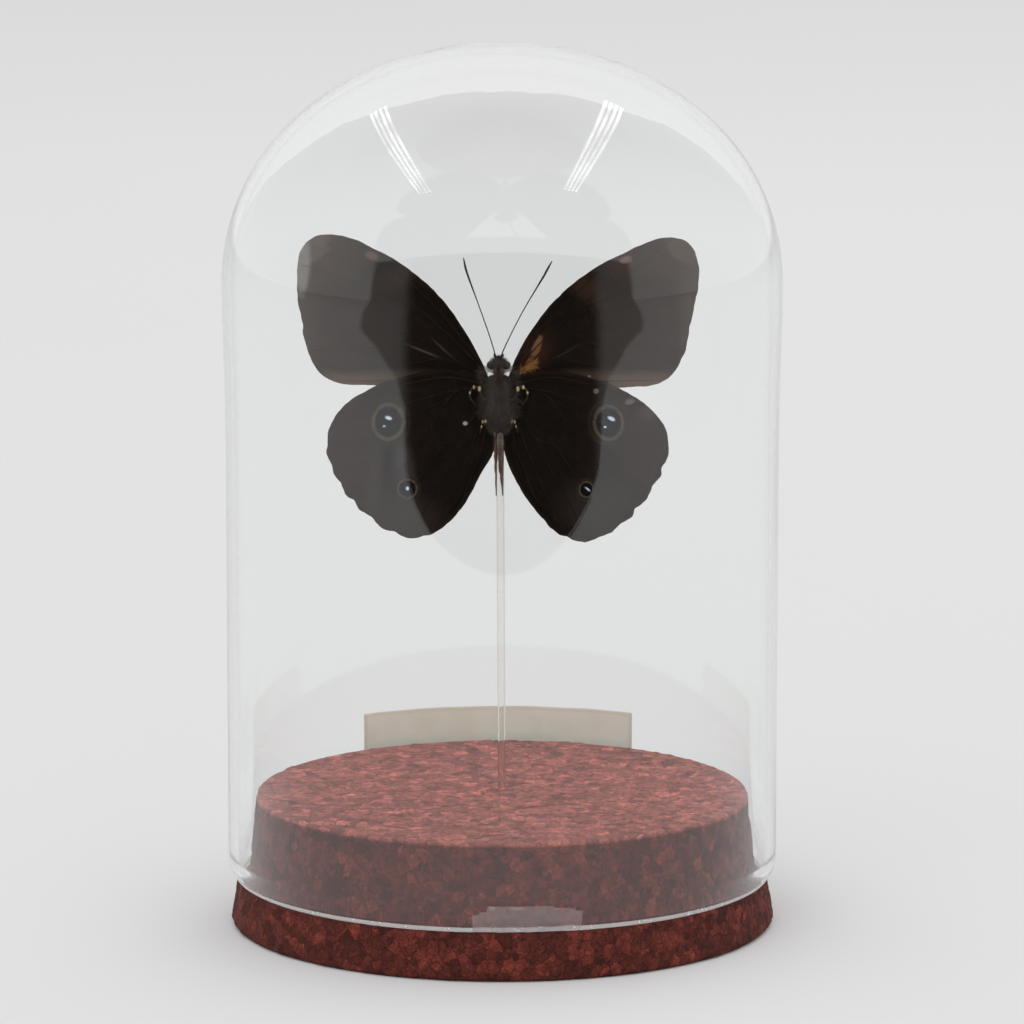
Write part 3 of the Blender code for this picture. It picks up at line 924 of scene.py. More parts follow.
# Rings round and in an eyespot's disc, from the outside in: growth of the radii, softness, share and colour
EYE_RINGS = (
    (1.78, 1.70, 0.10, 0.45, (0.050, 0.039, 0.030)),
    (1.62, 1.55, 0.10, 0.90, (0.009, 0.006, 0.005)),
    (1.40, 1.34, 0.09, 0.95, (0.070, 0.055, 0.036)),
    (1.08, 1.06, 0.08, 1.00, (0.0035, 0.0038, 0.0055)),
    (0.62, 0.62, 0.60, 0.60, (0.006, 0.008, 0.013)),
)
EYE_LIGHT = (0.62, 0.70, 0.78)

# Eyespots: outwards, up, radii of the dark disc in mm, turn in degrees, and the light marks on each disc
# as (outwards, up, radii in mm, turn) from the disc's middle
EYESPOTS = {
    "forewing_left": (),
    "forewing_right": (),
    "hindwing_left": (
        (25.0, -7.4, 2.8, 3.3, 8, ((0.1, 0.9, 0.75, 0.40, 18), (-0.9, -1.0, 0.28, 0.22, 0))),
        (20.7, -22.7, 1.7, 1.8, 0, ((0.0, 0.1, 0.34, 0.42, 0),)),
    ),
    "hindwing_right": (
        (24.9, -7.6, 2.6, 3.15, -6, ((0.6, 1.0, 0.85, 0.42, 25), (-0.8, -0.9, 0.30, 0.22, 0))),
        (19.9, -22.9, 1.3, 1.5, 0, ((0.2, 0.1, 0.75, 0.22, 35),)),
    ),
}


def wing_underside(wing, colour):
    """Scaly dark underside with its bands, patches and eyespots."""
    finish = Finish(f"scales_under_{wing.node}")
    where = finish.where()
    side, body = wing.side, BODY / MM
    margin = finish.field("margin")
    axes = finish.node("SeparateXYZ", where)
    out = finish.calc("ABSOLUTE", finish.calc("SUBTRACT", axes.outputs["X"], body.x))
    up = finish.calc("SUBTRACT", axes.outputs["Z"], body.z)
    scales = finish.noise(where, 0.11, 2.0, 0.6)
    mottle = finish.noise(where, 1.7, 5.0, 0.62)
    clouds = finish.noise(where, 7.0, 3.0, 0.5)
    ripple = finish.noise(finish.stretched(where, (0.5, 1.0, 1.6)), 1.4, 3.0, 0.6, 1.2)

    outer = tuple(c + extra for c, extra in zip(toned(colour, 2.2), (0.010, 0.006, 0.004)))
    surface = finish.blend(finish.map(out, 14.0, 42.0), colour, outer)
    dark, light = toned(colour, 0.45), toned(colour, 2.4)
    surface = finish.blend(finish.ramp(ripple, (0.56, 0.0), (0.68, 0.55)), surface, dark)
    surface = finish.blend(finish.ramp(mottle, (0.52, 0.0), (0.70, 0.4)), surface, light)

    def band(middle, width, amount):
        """A line that follows the margin at a distance, a little frayed."""
        fray = finish.calc("MULTIPLY", finish.calc("SUBTRACT", clouds, 0.5), 1.6)
        distance = finish.calc("SUBTRACT", finish.calc("ADD", margin, fray), middle)
        distance = finish.calc("ABSOLUTE", distance)
        return finish.map(distance, width * 0.4, width, amount, 0.0)

    surface = finish.blend(band(1.3, 0.5, 0.5), surface, dark)
    surface = finish.blend(band(2.6, 0.6, 0.4), surface, dark)
    surface = finish.blend(band(0.35, 0.35, 0.5), surface, light)
    if wing.fore:
        strip = finish.calc("MULTIPLY", finish.map(up, 1.2, 5.2, 1.0, 0.0), finish.map(out, 9.0, 17.0))
        strip = finish.calc("MULTIPLY", strip, finish.map(out, 38.0, 42.5, 1.0, 0.35))
        surface = finish.blend(finish.calc("MULTIPLY", strip, 0.95), surface, (0.115, 0.076, 0.050))
    for o, u, wide, high, turn, soft, fray, tone in WING_PATCHES[wing.node]:
        centre = (body.x + side * o, body.z + u)
        mask = finish.patch(where, centre, (wide, high), turn, soft, mottle, fray)
        surface = finish.blend(finish.calc("MULTIPLY", mask, 0.85), surface, tone)
    for o, u, wide, high, turn, lights in EYESPOTS[wing.node]:
        surface = eyespot(finish, where, surface, side, o, u, wide, high, turn, lights, mottle)
    grains = finish.ramp(scales, (0.25, 0.62), (0.5, 1.0), (0.8, 1.5))
    surface = finish.blend(1.0, surface, grains, "MULTIPLY")
    return finish.set(Base_Color=surface, Roughness=0.7, Specular_IOR_Level=0.06,
                      Normal=finish.bump(scales, 0.05, 0.5, finish.bump(ripple, 0.12, 0.35))).material


def eyespot(finish, where, surface, side, out, up, wide, high, turn, lights, fray):
    """A blue-black disc with light marks, in a pale brown ring and a fainter outer one."""
    body = BODY / MM
    x, z = body.x + side * out, body.z + up
    for grow_wide, grow_high, soft, share, tone in EYE_RINGS:
        ring = finish.patch(where, (x, z), (wide * grow_wide, high * grow_high), turn, soft, fray, 0.18)
        surface = finish.blend(finish.calc("MULTIPLY", ring, share), surface, tone)
    for o, u, mark_wide, mark_high, mark_turn in lights:
        mark = finish.patch(where, (x + o, z + u), (mark_wide, mark_high), mark_turn, 0.4, fray, 0.5)
        surface = finish.blend(mark, surface, EYE_LIGHT)
    return surface


def wing_upperside(colour, sheen, fore):
    """Plain dark brown upper side, with a soft dull blue sheen across the forewing."""
    finish = Finish("scales_upper_" + ("fore" if fore else "hind"))
    where = finish.where()
    axes = finish.node("SeparateXYZ", where)
    out = finish.calc("ABSOLUTE", finish.calc("SUBTRACT", axes.outputs["X"], BODY.x / MM))
    up = finish.calc("SUBTRACT", axes.outputs["Z"], BODY.z / MM)
    scales = finish.noise(where, 0.11, 2.0, 0.6)
    mottle = finish.noise(where, 4.0, 4.0, 0.6)
    margin = finish.field("margin")
    surface = finish.blend(finish.ramp(mottle, (0.35, 0.0), (0.7, 0.6)), colour, toned(colour, 1.9))
    if fore:
        across = finish.calc("SUBTRACT", finish.calc("MULTIPLY_ADD", up, 0.45, out), 32.0)
        edge = finish.calc("MULTIPLY_ADD", mottle, 4.0, finish.calc("ABSOLUTE", across))
        surface = finish.blend(finish.map(edge, 4.0, 11.0, 0.8, 0.0), surface, sheen)
    surface = finish.blend(finish.map(margin, 0.3, 1.6, 0.5, 0.0), surface, toned(colour, 0.6))
    surface = finish.blend(1.0, surface, finish.ramp(scales, (0.25, 0.6), (0.5, 1.0), (0.8, 1.5)), "MULTIPLY")
    return finish.set(Base_Color=surface, Roughness=0.6, Specular_IOR_Level=0.15,
                      Normal=finish.bump(scales, 0.05, 0.5)).material


def wing_veins(colour):
    finish = Finish("wing_veins")
    along = finish.noise(finish.where(), 1.2, 3.0)
    tone = finish.ramp(along, (0.3, toned(colour, 0.7)), (0.7, toned(colour, 1.5)))
    return finish.set(Base_Color=tone, Roughness=0.6, Specular_IOR_Level=0.12,
                      Normal=finish.bump(along, 0.05, 0.5)).material


class WingSettings(PropertyGroup):
    underside: FloatVectorProperty(
        name="Underside", description="Ground colour of the underside's scales", subtype="COLOR",
        min=0, max=1, default=(0.0085, 0.0052, 0.0036),
    )
    upperside: FloatVectorProperty(
        name="Upper Side", description="Ground colour of the upper side's scales", subtype="COLOR",
        min=0, max=1, default=(0.024, 0.015, 0.010),
    )
    sheen: FloatVectorProperty(
        name="Blue Band", description="Dull blue across the upper side of the forewings", subtype="COLOR",
        min=0, max=1, default=(0.030, 0.045, 0.11),
    )
    veins: FloatVectorProperty(
        name="Veins", description="Colour of the wing veins", subtype="COLOR", min=0, max=1,
        default=(0.0125, 0.0085, 0.006),
    )


class AddWings(Operator):
    """Add the four scaly wings, with their veins and worn margins"""

    bl_idname = "insect_dome.add_wings"
    bl_label = "Wings"

    def execute(self, context):
        settings = context.scene.insect_dome_wings
        veins = wing_veins(settings.veins)
        for kind, routes in (("forewing", FOREWING_VEINS), ("hindwing", HINDWING_VEINS)):
            upper = wing_upperside(settings.upperside, settings.sheen, kind == "forewing")
            for name, side in SIDES:
                wing = Wing(f"{kind}_{name}", side)
                points, front, back, rim, margin = wing.membrane()
                if side < 0:
                    front, back, rim = ([face[::-1] for face in faces] for faces in (front, back, rim))
                shape = Shape()
                shape.add(points, front, 0, margin=margin)
                shape.faces += back + rim
                shape.finishes += [1] * len(back) + [0] * len(rim)
                for route in routes:
                    for lift in (-0.02, MEMBRANE + 0.02):
                        ridge, faces, _, _ = wing.vein(route, lift)
                        shape.add(ridge, faces, 2)
                under = wing_underside(wing, settings.underside)
                shape.build(f"{kind}_{name}_scaled", [under, upper, veins], "wing_scales", [wing.node])
        return {"FINISHED"}


# ---------------------------------------------------------------- body, palps, legs and antennae

# Rows of (outwards, in front, upwards, radius) in mm
THORAX = (
    (0, 0, 3.6, 1.3), (0, 0, 3.1, 2.1), (0, 0, 1.6, 2.9), (0, 0, -1.0, 3.25), (0, 0, -4.2, 3.3),
    (0, 0, -6.6, 2.9), (0, 0, -8.4, 1.9), (0, 0, -9.2, 1.0),
)
ABDOMEN = ((0.1, 0.2, -8.9, 0.8), (0.0, 0.2, -11.8, 1.15), (-0.1, 0.2, -16.0, 0.95), (-0.4, 0.2, -24.0, 0.25))
ANTENNAE = {
    "left": (
        (0.7, 0.6, 7.2, 0.16), (0.9, 0.4, 8.6, 0.14), (2.6, 0.7, 14.2, 0.13), (4.9, 0.9, 20.6, 0.14),
        (6.9, 0.8, 26.2, 0.24), (7.5, 0.7, 28.2, 0.27), (7.9, 0.6, 30.2, 0.12),
    ),
    "right": (
        (0.5, 0.6, 7.2, 0.16), (0.8, 0.4, 8.6, 0.14), (3.5, 0.7, 14.4, 0.13), (6.9, 0.9, 20.6, 0.14),
        (9.9, 0.8, 25.6, 0.24), (11.0, 0.7, 27.6, 0.27), (12.0, 0.6, 29.4, 0.12),
    ),
}
PALP = ((0.6, 2.0, 5.4, 0.34), (0.58, 2.9, 4.6, 0.42), (0.42, 3.25, 3.2, 0.34), (0.28, 3.4, 1.8, 0.1))
MID_LEG = (
    (2.6, 2.0, -1.9, 0.34), (3.5, 1.6, -1.4, 0.32), (4.3, 1.2, 0.6, 0.32), (5.6, 0.7, 0.9, 0.24),
    (6.5, 0.3, -0.4, 0.2), (6.2, 0.2, -2.0, 0.16), (5.2, 0.2, -3.2, 0.1),
)
HIND_LEG = (
    (1.9, 1.2, -8.0, 0.3), (2.5, 0.8, -8.0, 0.28), (2.95, 0.6, -6.8, 0.26), (3.6, 0.3, -7.0, 0.22),
    (3.9, 0.1, -8.2, 0.16), (4.3, 0.1, -9.6, 0.1),
)
HEAD_AT, HEAD_AXES = Vector((0.0, -0.4, 5.8)) * MM, Vector((1.9, 1.6, 1.75)) * MM
EYE_AT, EYE_R = Vector((1.7, -0.25, 0.1)) * MM, 1.0 * MM
ANTENNA_SEGMENT = 0.42  # mm

# How many hairs each part carries; the thorax's number is one of the settings
TUFT_HAIRS, GOLDEN_HAIRS, FACE_SCALES = 420, 190, 420
HEAD_HAIRS, ABDOMEN_HAIRS, PALP_HAIRS, LEG_BRISTLES = 2600, 1300, 900, 420


def member(side, rows, count):
    """The smooth path and radii of a member, in the frame."""
    rows = smooth_path(rows, count)
    return specimen_points(side, rows[:, :3]), np.maximum(rows[:, 3], 0.03) * MM


def chitin(name, colour, roughness, grain=0.25):
    """Thin dried shell, a little uneven and half glossy."""
    finish = Finish(name)
    where = finish.where()
    fine = finish.noise(where, grain, 4.0, 0.6)
    cloud = finish.noise(where, 1.1, 3.0)
    tone = finish.ramp(cloud, (0.3, toned(colour, 0.55)), (0.55, colour), (0.8, toned(colour, 2.0)))
    return finish.set(Base_Color=tone, Roughness=finish.map(fine, 0.3, 0.7, roughness * 0.8, roughness * 1.2),
                      Normal=finish.bump(fine, 0.04, 0.5)).material


def hair_finish(name, colour, pale):
    """Fine dry hair, each strand a little different."""
    finish = Finish(name)
    where = finish.where()
    strands = finish.noise(where, 0.12, 2.0, 0.7)
    cloud = finish.noise(where, 1.6, 3.0)
    tone = finish.blend(finish.ramp(strands, (0.40, 0.0), (0.72, 1.0)), colour, pale)
    tone = finish.blend(finish.ramp(cloud, (0.45, 0.0), (0.75, 0.5)), tone, toned(colour, 0.4))
    return finish.set(Base_Color=tone, Roughness=0.55, Specular_IOR_Level=0.2,
                      Normal=finish.bump(strands, 0.02, 0.4)).material


def eye_finish(colour):
    """Round compound eye: rows of tiny facets under a faint gloss."""
    finish = Finish("compound_eye")
    where = finish.where()
    facet, _ = finish.cells(where, 0.09)
    cloud = finish.noise(where, 0.8, 2.0)
    shade = finish.ramp(cloud, (0.3, toned(colour, 0.6)), (0.7, toned(colour, 1.6)))
    return finish.set(Base_Color=shade, Roughness=0.28, Coat_Weight=0.4, Coat_Roughness=0.15,
                      Normal=finish.bump(facet, 0.02, 0.6)).material


def coat_of_hair(rng, rings, normals, count, length, radius, lie, spread=0.35):
    """Hairs rooted at random places on rings of surface points, leaning along the lie direction."""
    rows, columns = rings.shape[:2]
    row = rng.uniform(0, rows - 1.001, count)
    column = rng.integers(0, columns, count)
    low, share = row.astype(int), (row % 1)[:, None]
    roots = rings[low, column] * (1 - share) + rings[low + 1, column] * share
    around = rng.uniform(0, 1, (count, 1))
    roots = roots * (1 - around) + rings[low, (column + 1) % columns] * around
    upright = normals[low, column]
    directions = upright * 0.45 + np.array(lie) + rng.normal(0, spread, roots.shape)
    lengths = rng.uniform(*length, len(roots)) * MM
    return hairs(rng, roots - unit(directions) * 0.05 * MM, directions, lengths, radius * MM)


class BodySettings(PropertyGroup):
    shell: FloatVectorProperty(
        name="Shell", description="Colour of the dried shell of the body", subtype="COLOR", min=0, max=1,
        default=(0.030, 0.020, 0.015),
    )
    hair: FloatVectorProperty(
        name="Hair", description="Colour of the body's fine hair", subtype="COLOR", min=0, max=1,
        default=(0.045, 0.034, 0.028),
    )
    hair_tips: FloatVectorProperty(
        name="Pale Hair", description="Colour of the palest hairs", subtype="COLOR", min=0, max=1,
        default=(0.19, 0.16, 0.13),
    )
    hair_count: IntProperty(
        name="Thorax Hairs", description="How many hairs the thorax carries", default=7000, min=0, max=20000,
    )
    horn: FloatVectorProperty(
        name="Legs and Antennae", description="Colour of the legs and antennae", subtype="COLOR",
        min=0, max=1, default=(0.028, 0.014, 0.008),
    )


class AddBody(Operator):
    """Add the furry thorax, the shrunken abdomen and the head with its eyes"""

    bl_idname = "insect_dome.add_body"
    bl_label = "Body and Head"

    def execute(self, context):
        settings = context.scene.insect_dome_body
        shell = chitin("body_shell", settings.shell, 0.5)
        fur = hair_finish("body_fur", settings.hair, settings.hair_tips)
        self.add_trunk(settings, shell, fur)
        self.add_abdomen(chitin("abdomen_shell", (0.10, 0.040, 0.020), 0.5), fur)
        self.add_head(shell, fur)
        return {"FINISHED"}

    def add_trunk(self, settings, shell, fur):
        rng = np.random.default_rng(11)
        path, radii = member(1, THORAX, 40)
        points, faces, rings, normals = tube(path, radii, 36)
        uneven = np.array([noise.noise(Vector(p) * 900) for p in points[:-2]]) * 0.16 * MM
        points[:-2] += normals.reshape(-1, 3) * uneven[:, None]
        shape = Shape()
        shape.add(points, faces, 0)
        coat = coat_of_hair(rng, rings, normals, settings.hair_count, (0.7, 1.7), 0.022, (0, 0, -0.75))
        shape.add(*coat, 1)
        for roots, directions, lengths in self.root_tufts(rng):
            shape.add(*hairs(rng, roots, directions, lengths, 0.024 * MM), 1)
        shape.add(*self.golden_hairs(rng), 2)
        gold = hair_finish("golden_hair", (0.30, 0.13, 0.03), (0.62, 0.36, 0.10))
        shape.build("thorax_furred", [shell, fur, gold], "body_hair", ["thorax"])

    @staticmethod
    def golden_hairs(rng):
        """Coarse golden hairs left on the right forewing's rubbed base."""
        count = GOLDEN_HAIRS
        outs, ups = rng.uniform(4.6, 8.4, count), rng.normal(0, 0.5, count)
        ups += 1.2 + 0.55 * outs
        roots = specimen_points(1, np.column_stack((outs, np.full(count, -1.1), ups)))
        lean = np.column_stack((rng.uniform(0.5, 1.2, count), rng.uniform(-0.5, 0, count),
                                rng.normal(0.6, 0.5, count)))
        return hairs(rng, roots, lean, rng.uniform(0.5, 1.5, count) * MM, 0.045 * MM)

    @staticmethod
    def root_tufts(rng):
        """Longer hairs over the wing roots on both sides, front and back."""
        for side in (-1, 1):
            for front, low, high in ((0.4, -6.0, 4.6), (-2.4, -5.0, 5.2)):
                count = TUFT_HAIRS
                ups = rng.uniform(low, high, count)
                outs = rng.uniform(2.2, 4.2, count)
                roots = specimen_points(side, np.column_stack((outs, rng.normal(front, 0.35, count), ups)))
                directions = np.column_stack((side * rng.uniform(0.5, 1.2, count), rng.normal(0, 0.25, count),
                                              rng.normal(-0.15, 0.45, count) + ups * 0.06))
                yield roots, directions, rng.uniform(0.9, 2.3, count) * MM

    @staticmethod
    def add_abdomen(shell, fur):
        rng = np.random.default_rng(12)
        path, radii = member(1, ABDOMEN, 90)
        rings = 1 - 0.12 * np.abs(np.sin(np.linspace(0, 8 * pi, len(path)))) ** 6
        points, faces, rows, normals = tube(path, radii * rings, 26, flatten=0.85)
        uneven = np.array([noise.noise(Vector(p) * 1100) for p in points[:-2]]) * 0.09 * MM
        points[:-2] += normals.reshape(-1, 3) * uneven[:, None]
        shape = Shape()
        shape.add(points, faces, 0)
        coat = coat_of_hair(rng, rows, normals, ABDOMEN_HAIRS, (0.25, 0.6), 0.016, (0, 0, -0.9), 0.25)
        shape.add(*coat, 1)
        shape.build("abdomen_dried", [shell, fur], "body_hair", ["abdomen"])

    @staticmethod
    def add_head(shell, fur):
        rng = np.random.default_rng(13)
        centre = np.array(BODY + HEAD_AT)
        shape = Shape()
        points, faces, normals = ellipsoid(centre, HEAD_AXES, 40, 28)
        uneven = np.array([noise.noise(Vector(p) * 1000) for p in points]) * 0.1 * MM
        shape.add(points + normals * uneven[:, None], faces, 0)
        chosen = rng.integers(0, len(points), HEAD_HAIRS)
        roots, upright = points[chosen], normals[chosen]
        count = len(roots)
        lie = np.column_stack((upright[:, 0] * 0.2, np.full(count, -0.1), rng.normal(-0.2, 0.5, count)))
        lengths = rng.uniform(0.35, 1.0, count) * MM
        shape.add(*hairs(rng, roots, upright * 0.8 + lie, lengths, 0.02 * MM), 1)
        for side in (-1, 1):
            eye = centre + np.array((side * EYE_AT.x, EYE_AT.y, EYE_AT.z))
            shape.add(*ellipsoid(eye, (EYE_R,) * 3, 36, 24)[:2], 2)
            count = FACE_SCALES
            around, reach = rng.uniform(0.05 * pi, 0.98 * pi, count), rng.uniform(0.92, 1.28, count)
            x, y, z = np.cos(around) * reach, rng.normal(-0.8, 0.08, count), -np.sin(around) * reach
            ring = np.column_stack((x, y, z))
            directions = np.column_stack((x * 0.6, rng.uniform(-0.5, -0.1, count), z - 0.3))
            lengths = rng.uniform(0.22, 0.5, count) * MM
            shape.add(*hairs(rng, eye + ring * EYE_R, directions, lengths, 0.05 * MM), 3)
            socket = specimen_points(side, [ANTENNAE["left"][1][:3]])[0] - np.array((0, 0, 0.45 * MM))
            shape.add(*ellipsoid(socket, (0.32 * MM, 0.32 * MM, 0.4 * MM), 18, 12)[:2], 0)
        eye_material = eye_finish((0.020, 0.012, 0.009))
        pale = hair_finish("pale_face_scales", (0.48, 0.45, 0.42), (0.80, 0.78, 0.74))
        shape.build("head_furred", [shell, fur, eye_material, pale], "body_hair", ["head"])


class AddLimbs(Operator):
    """Add the palps, the folded legs and the clubbed antennae"""

    bl_idname = "insect_dome.add_limbs"
    bl_label = "Palps, Legs and Antennae"

    def execute(self, context):
        settings = context.scene.insect_dome_body
        shell = chitin("limb_shell", settings.horn, 0.38, 0.12)
        # pale amber for the blobs on the leg joints: painted glints
        painted_glint = chitin("leg_joints_painted_glint", (0.55, 0.42, 0.22), 0.25, 0.12)
        fur = hair_finish("palp_fur", (0.060, 0.038, 0.026), (0.16, 0.11, 0.08))
        bristles = chitin("leg_bristles", (0.06, 0.035, 0.02), 0.45, 0.1)
        for name, side in SIDES:
            self.add_antenna(name, side, shell)
            self.add_palp(name, side, shell, fur)
            self.add_leg(f"mid_leg_{name}", side, MID_LEG, shell, painted_glint, bristles)
            self.add_leg(f"hind_leg_{name}", side, HIND_LEG, shell, painted_glint, bristles)
        return {"FINISHED"}

    @staticmethod
    def add_antenna(name, side, shell):
        """A ringed stem that thickens into a long club."""
        rows = ANTENNAE[name]
        length = sum(np.linalg.norm(np.subtract(b[:3], a[:3])) for a, b in zip(rows, rows[1:]))
        segments = round(length / ANTENNA_SEGMENT)
        path, radii = member(side, rows, segments * 5)
        rings = 1 - 0.14 * np.abs(np.cos(np.linspace(0, segments * pi, len(path)))) ** 5
        points, faces, _, _ = tube(path, radii * rings, 12)
        shape = Shape()
        shape.add(points, faces)
        shape.build(f"antenna_{name}_clubbed", [shell], "dark_horn", [f"antenna_{name}"])

    @staticmethod
    def add_palp(name, side, shell, fur):
        rng = np.random.default_rng(20 + side)
        path, radii = member(side, PALP, 30)
        points, faces, rings, normals = tube(path, radii, 18)
        shape = Shape()
        shape.add(points, faces, 0)
        coat = coat_of_hair(rng, rings, normals, PALP_HAIRS, (0.25, 0.75), 0.018, (0, -0.15, -0.8), 0.25)
        shape.add(*coat, 1)
        shape.build(f"palp_{name}_furred", [shell, fur], "body_hair", [f"palp_{name}"])

    @staticmethod
    def add_leg(node, side, rows, shell, painted_glint, bristles):
        """A folded leg, thicker at its joints, with pale amber blobs on its joints as painted glints, and
        short bristles.
        """
        rng = np.random.default_rng(30 + side + len(rows))
        path, radii = member(side, rows, 22 * len(rows))
        joints = np.linspace(0, len(path) - 1, len(rows))[2:-1]
        place = np.arange(len(path))
        swelling = sum(np.exp(-(((place - joint) / 3.0) ** 2)) for joint in joints)
        points, faces, rings, normals = tube(path, radii * (0.86 + 0.4 * swelling), 16)
        shape = Shape()
        shape.add(points, faces, 0)
        # painted glints: pale amber blobs on the first three joints
        for joint in joints.astype(int)[:3]:
            size = radii[joint] * 1.25
            long = (size * 0.95, size * 0.95, size * 1.5)
            shape.add(*ellipsoid(path[joint] + np.array((0, -0.45, 0)) * size, long, 16, 12)[:2], 1)
        coat = coat_of_hair(rng, rings, normals, LEG_BRISTLES, (0.15, 0.42), 0.014, (0, 0, -0.5), 0.3)
        shape.add(*coat, 2)
        shape.build(f"{node}_folded", [shell, painted_glint, bristles], "dark_horn", [node])


# ---------------------------------------------------------------- stage

FLOOR_R = 7.0
CAMERA_AT = (0.0022, -1.316, 0.314)
CAMERA_TILT = 80.51
CAMERA_LENS = 207.42
LAMP_STRIPS = ((-0.765, 0.155), (0.66, 0.165))  # x of the middle and width of the two ceiling lamps
LAMP_Z, LAMP_FRONT, LAMP_BACK = 1.5, -0.72, 1.03
TUBE_SPACING, BEAD_SPACING = 42.0, 55.0  # mm between a lamp's tubes and between the bright points on them
MAT_EDGE, MAT_REACH, MAT_HEIGHT = 0.555, 5.0, 2.6  # the painted reflection sheet starts here, turns up there, ends so high
MAT_LIFT, MAT_NEAR_HALF, MAT_FAR_HALF = 0.002, 0.9, 7.0
MAT_DARK, MAT_PALE = 0.72, 0.90  # sideways share of the distance where the painted reflection sheet turns from dark to pale


def stage_mesh(name, points, faces, material):
    mesh = bpy.data.meshes.new(name)
    mesh.from_pydata(points, [], faces)
    mesh.materials.append(material)
    made = bpy.data.objects.new(name, mesh)
    bpy.context.scene.collection.objects.link(made)
    made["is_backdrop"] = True
    return made


def only_in_reflections(made):
    made.visible_camera = made.visible_diffuse = made.visible_transmission = False
    made.visible_shadow = made.visible_volume_scatter = False


class StageSettings(PropertyGroup):
    floor: FloatVectorProperty(
        name="Floor", description="Colour of the plain floor", subtype="COLOR", min=0, max=1,
        default=(0.80, 0.80, 0.805),
    )
    sky: FloatProperty(
        name="Room Light", description="Brightness of the pale room", default=0.86, min=0, max=5,
    )
    key: FloatProperty(
        name="Soft Lamps", description="Power of the larger soft lamp", default=6.0, min=0, unit="POWER",
    )
    strip: FloatProperty(
        name="Ceiling Lamps", description="Brightness of the two ceiling lamps", default=7.5, min=0,
    )


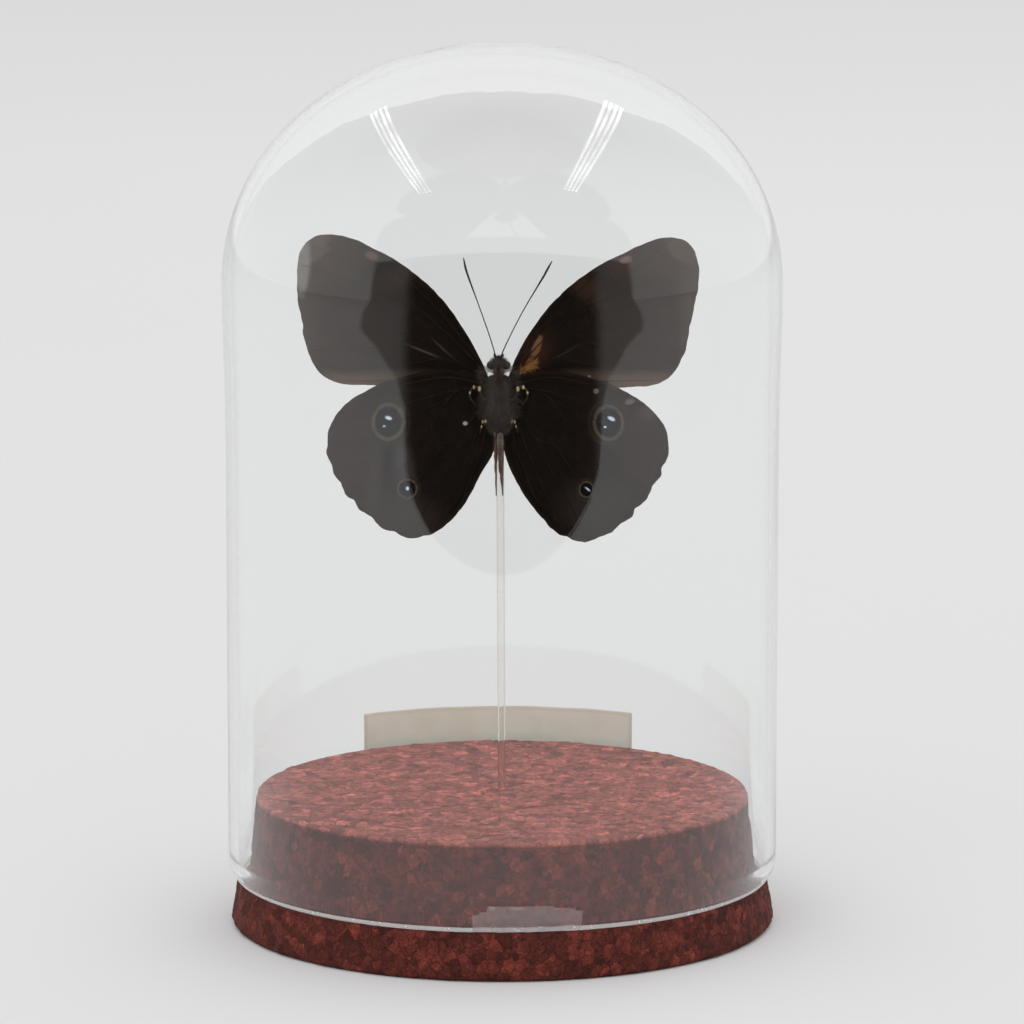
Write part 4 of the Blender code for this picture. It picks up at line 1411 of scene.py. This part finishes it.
class AddStage(Operator):
    """Add the floor, the soft lamps and the camera"""

    bl_idname = "insect_dome.add_stage"
    bl_label = "Stage and Camera"

    def execute(self, context):
        settings = context.scene.insect_dome_stage
        self.add_floor(settings)
        self.add_painted_reflection_sheet()
        self.add_ceiling_lamps(settings)
        self.add_light(context, settings)
        self.add_camera(context)
        return {"FINISHED"}

    @staticmethod
    def add_floor(settings):
        finish = Finish("studio_floor")
        cloud = finish.noise(finish.where(), 900.0, 2.0)
        colour = finish.blend(finish.map(cloud, 0.3, 0.7), toned(settings.floor, 0.985), settings.floor)
        finish.set(Base_Color=colour, Roughness=0.9, Specular_IOR_Level=0.0)
        steps = 96
        angles = [2 * pi * i / steps for i in range(steps)]
        points = [(0, 0, 0)] + [(FLOOR_R * cos(a), FLOOR_R * sin(a), 0) for a in angles]
        faces = [(0, 1 + i, 1 + (i + 1) % steps) for i in range(steps)]
        stage_mesh("floor", points, faces, finish.material)

    @staticmethod
    def add_painted_reflection_sheet():
        """A dark sheet on the floor in front, which only the glass reflects: a painted reflection, dark ahead
        and paler to the sides.
        """
        finish = Finish("painted_reflection_sheet")
        axes = finish.node("SeparateXYZ", finish.where())
        aside = finish.calc("ABSOLUTE", finish.calc("DIVIDE", axes.outputs["X"], axes.outputs["Y"]))
        # painted reflection: dark straight ahead, paler to the sides
        dark, pale = (0.008, 0.007, 0.006), (0.36, 0.355, 0.35)
        shade = finish.blend(finish.map(aside, MAT_DARK, MAT_PALE), dark, pale)
        finish.set(Base_Color=shade, Roughness=0.9, Specular_IOR_Level=0.0)
        mirrored = finish.calc("GREATER_THAN", finish.node("LightPath").outputs["Glossy Depth"], 0.5)
        clear = finish.node("BsdfTransparent").outputs["BSDF"]
        mixed = finish.node("MixShader", mirrored, clear, finish.shader.outputs["BSDF"])
        finish.tree.links.new(mixed.outputs["Shader"], finish.output.inputs["Surface"])
        points = []
        for half, y, z in (
            (MAT_NEAR_HALF, -MAT_EDGE, MAT_LIFT), (MAT_FAR_HALF, -MAT_REACH, MAT_LIFT),
            (MAT_FAR_HALF, -MAT_REACH, MAT_HEIGHT),
        ):
            points += [(-half, y, z), (half, y, z)]
        mat = stage_mesh("painted_reflection_sheet_front", points, [(0, 1, 3, 2), (2, 3, 5, 4)], finish.material)
        only_in_reflections(mat)
        mat.visible_transmission = True

    @staticmethod
    def add_ceiling_lamps(settings):
        """Two long lamps with rows of small bright points, side by side."""
        finish = Finish("ceiling_lamp")
        glow = finish.node("Emission")
        where = finish.where()
        axes = finish.node("SeparateXYZ", where)
        tubes = finish.calc("SINE", finish.calc("MULTIPLY", axes.outputs["X"], 2 * pi / TUBE_SPACING))
        beads = finish.calc("SINE", finish.calc("MULTIPLY", axes.outputs["Y"], 2 * pi / BEAD_SPACING))
        tubes, beads = finish.map(tubes, -0.7, 0.4, 0.2), finish.map(beads, -0.8, 0.2, 0.45)
        cloud = finish.noise(finish.stretched(where, (1.0, 0.3, 1.0)), 90.0, 2.0)
        uneven = finish.map(cloud, 0.3, 0.7, 0.5, 1.3)
        pattern = finish.calc("MULTIPLY", finish.calc("MULTIPLY", tubes, beads), uneven)
        finish.feed(glow.inputs["Strength"], finish.calc("MULTIPLY", pattern, settings.strip))
        finish.tree.links.new(glow.outputs["Emission"], finish.output.inputs["Surface"])
        for index, (middle, width) in enumerate(LAMP_STRIPS):
            low, high = middle - width / 2, middle + width / 2
            corners = ((low, LAMP_FRONT), (low, LAMP_BACK), (high, LAMP_BACK), (high, LAMP_FRONT))
            points = [(x, y, LAMP_Z) for x, y in corners]
            lamp = stage_mesh(f"ceiling_lamp_{index + 1}", points, [(0, 1, 2, 3)], finish.material)
            only_in_reflections(lamp)

    @staticmethod
    def add_light(context, settings):
        world = bpy.data.worlds.new("pale_room")
        world.use_nodes = True
        world.node_tree.nodes["Background"].inputs["Color"].default_value = (1.0, 1.0, 1.0, 1.0)
        world.node_tree.nodes["Background"].inputs["Strength"].default_value = settings.sky
        context.scene.world = world
        for name, place, size, share in (
            ("soft_lamp_front", (-0.9, -1.3, 1.9), 1.4, 1.0),
            ("soft_lamp_back", (0.8, 1.4, 1.8), 1.4, 0.7),
        ):
            lamp = bpy.data.lights.new(name, "AREA")
            lamp.size, lamp.energy = size, settings.key * share
            made = bpy.data.objects.new(name, lamp)
            made.location = place
            made.rotation_euler = (Vector((0, 0, 0.1)) - Vector(place)).to_track_quat("-Z", "Y").to_euler()
            made.visible_glossy = made.visible_transmission = False
            context.scene.collection.objects.link(made)
        context.scene.view_settings.view_transform = "Standard"

    @staticmethod
    def add_camera(context):
        lens = bpy.data.cameras.new("camera")
        lens.lens, lens.sensor_width, lens.clip_end = CAMERA_LENS, 36.0, 20.0
        camera = bpy.data.objects.new("camera", lens)
        camera.location = CAMERA_AT
        camera.rotation_euler = (radians(CAMERA_TILT), 0.0, 0.0)
        context.scene.collection.objects.link(camera)
        context.scene.camera = camera


# ---------------------------------------------------------------- panel and running

OPERATORS = (AddStage, AddGlassDome, AddCorkBase, AddMountingRod, AddPaperLabel, AddWings, AddBody, AddLimbs)
SETTINGS = {
    "insect_dome_stage": StageSettings,
    "insect_dome_glass": GlassSettings,
    "insect_dome_cork": CorkSettings,
    "insect_dome_trim": TrimSettings,
    "insect_dome_wings": WingSettings,
    "insect_dome_body": BodySettings,
}


class InsectDomePanel(Panel):
    """Sizes, colours and buttons for the insect dome"""

    bl_idname = "VIEW3D_PT_insect_dome"
    bl_label = "Insect Dome"
    bl_space_type = "VIEW_3D"
    bl_region_type = "UI"
    bl_category = "Insect Dome"

    def draw(self, context):
        for name, group in SETTINGS.items():
            box = self.layout.box()
            for key in group.__annotations__:
                box.prop(getattr(context.scene, name), key)
        for operator in OPERATORS:
            self.layout.operator(operator.bl_idname)


def register():
    for name, group in SETTINGS.items():
        bpy.utils.register_class(group)
        setattr(bpy.types.Scene, name, PointerProperty(type=group))
    for made in (*OPERATORS, InsectDomePanel):
        bpy.utils.register_class(made)


def unregister():
    for made in (InsectDomePanel, *reversed(OPERATORS)):
        bpy.utils.unregister_class(made)
    for name, group in reversed(SETTINGS.items()):
        delattr(bpy.types.Scene, name)
        bpy.utils.unregister_class(group)


def write_sizes():
    """The CAD's box and the finished model's box as plain lists; they are neither returned nor written."""
    boxes = {"cad": CAD_BOX, "visual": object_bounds()}
    {name: [list(corner) for corner in box] for name, box in boxes.items()}


def main():
    register()
    for operator in OPERATORS:
        category, name = operator.bl_idname.split(".")
        getattr(getattr(bpy.ops, category), name)()
    write_sizes()


if __name__ == "__main__":
    main()
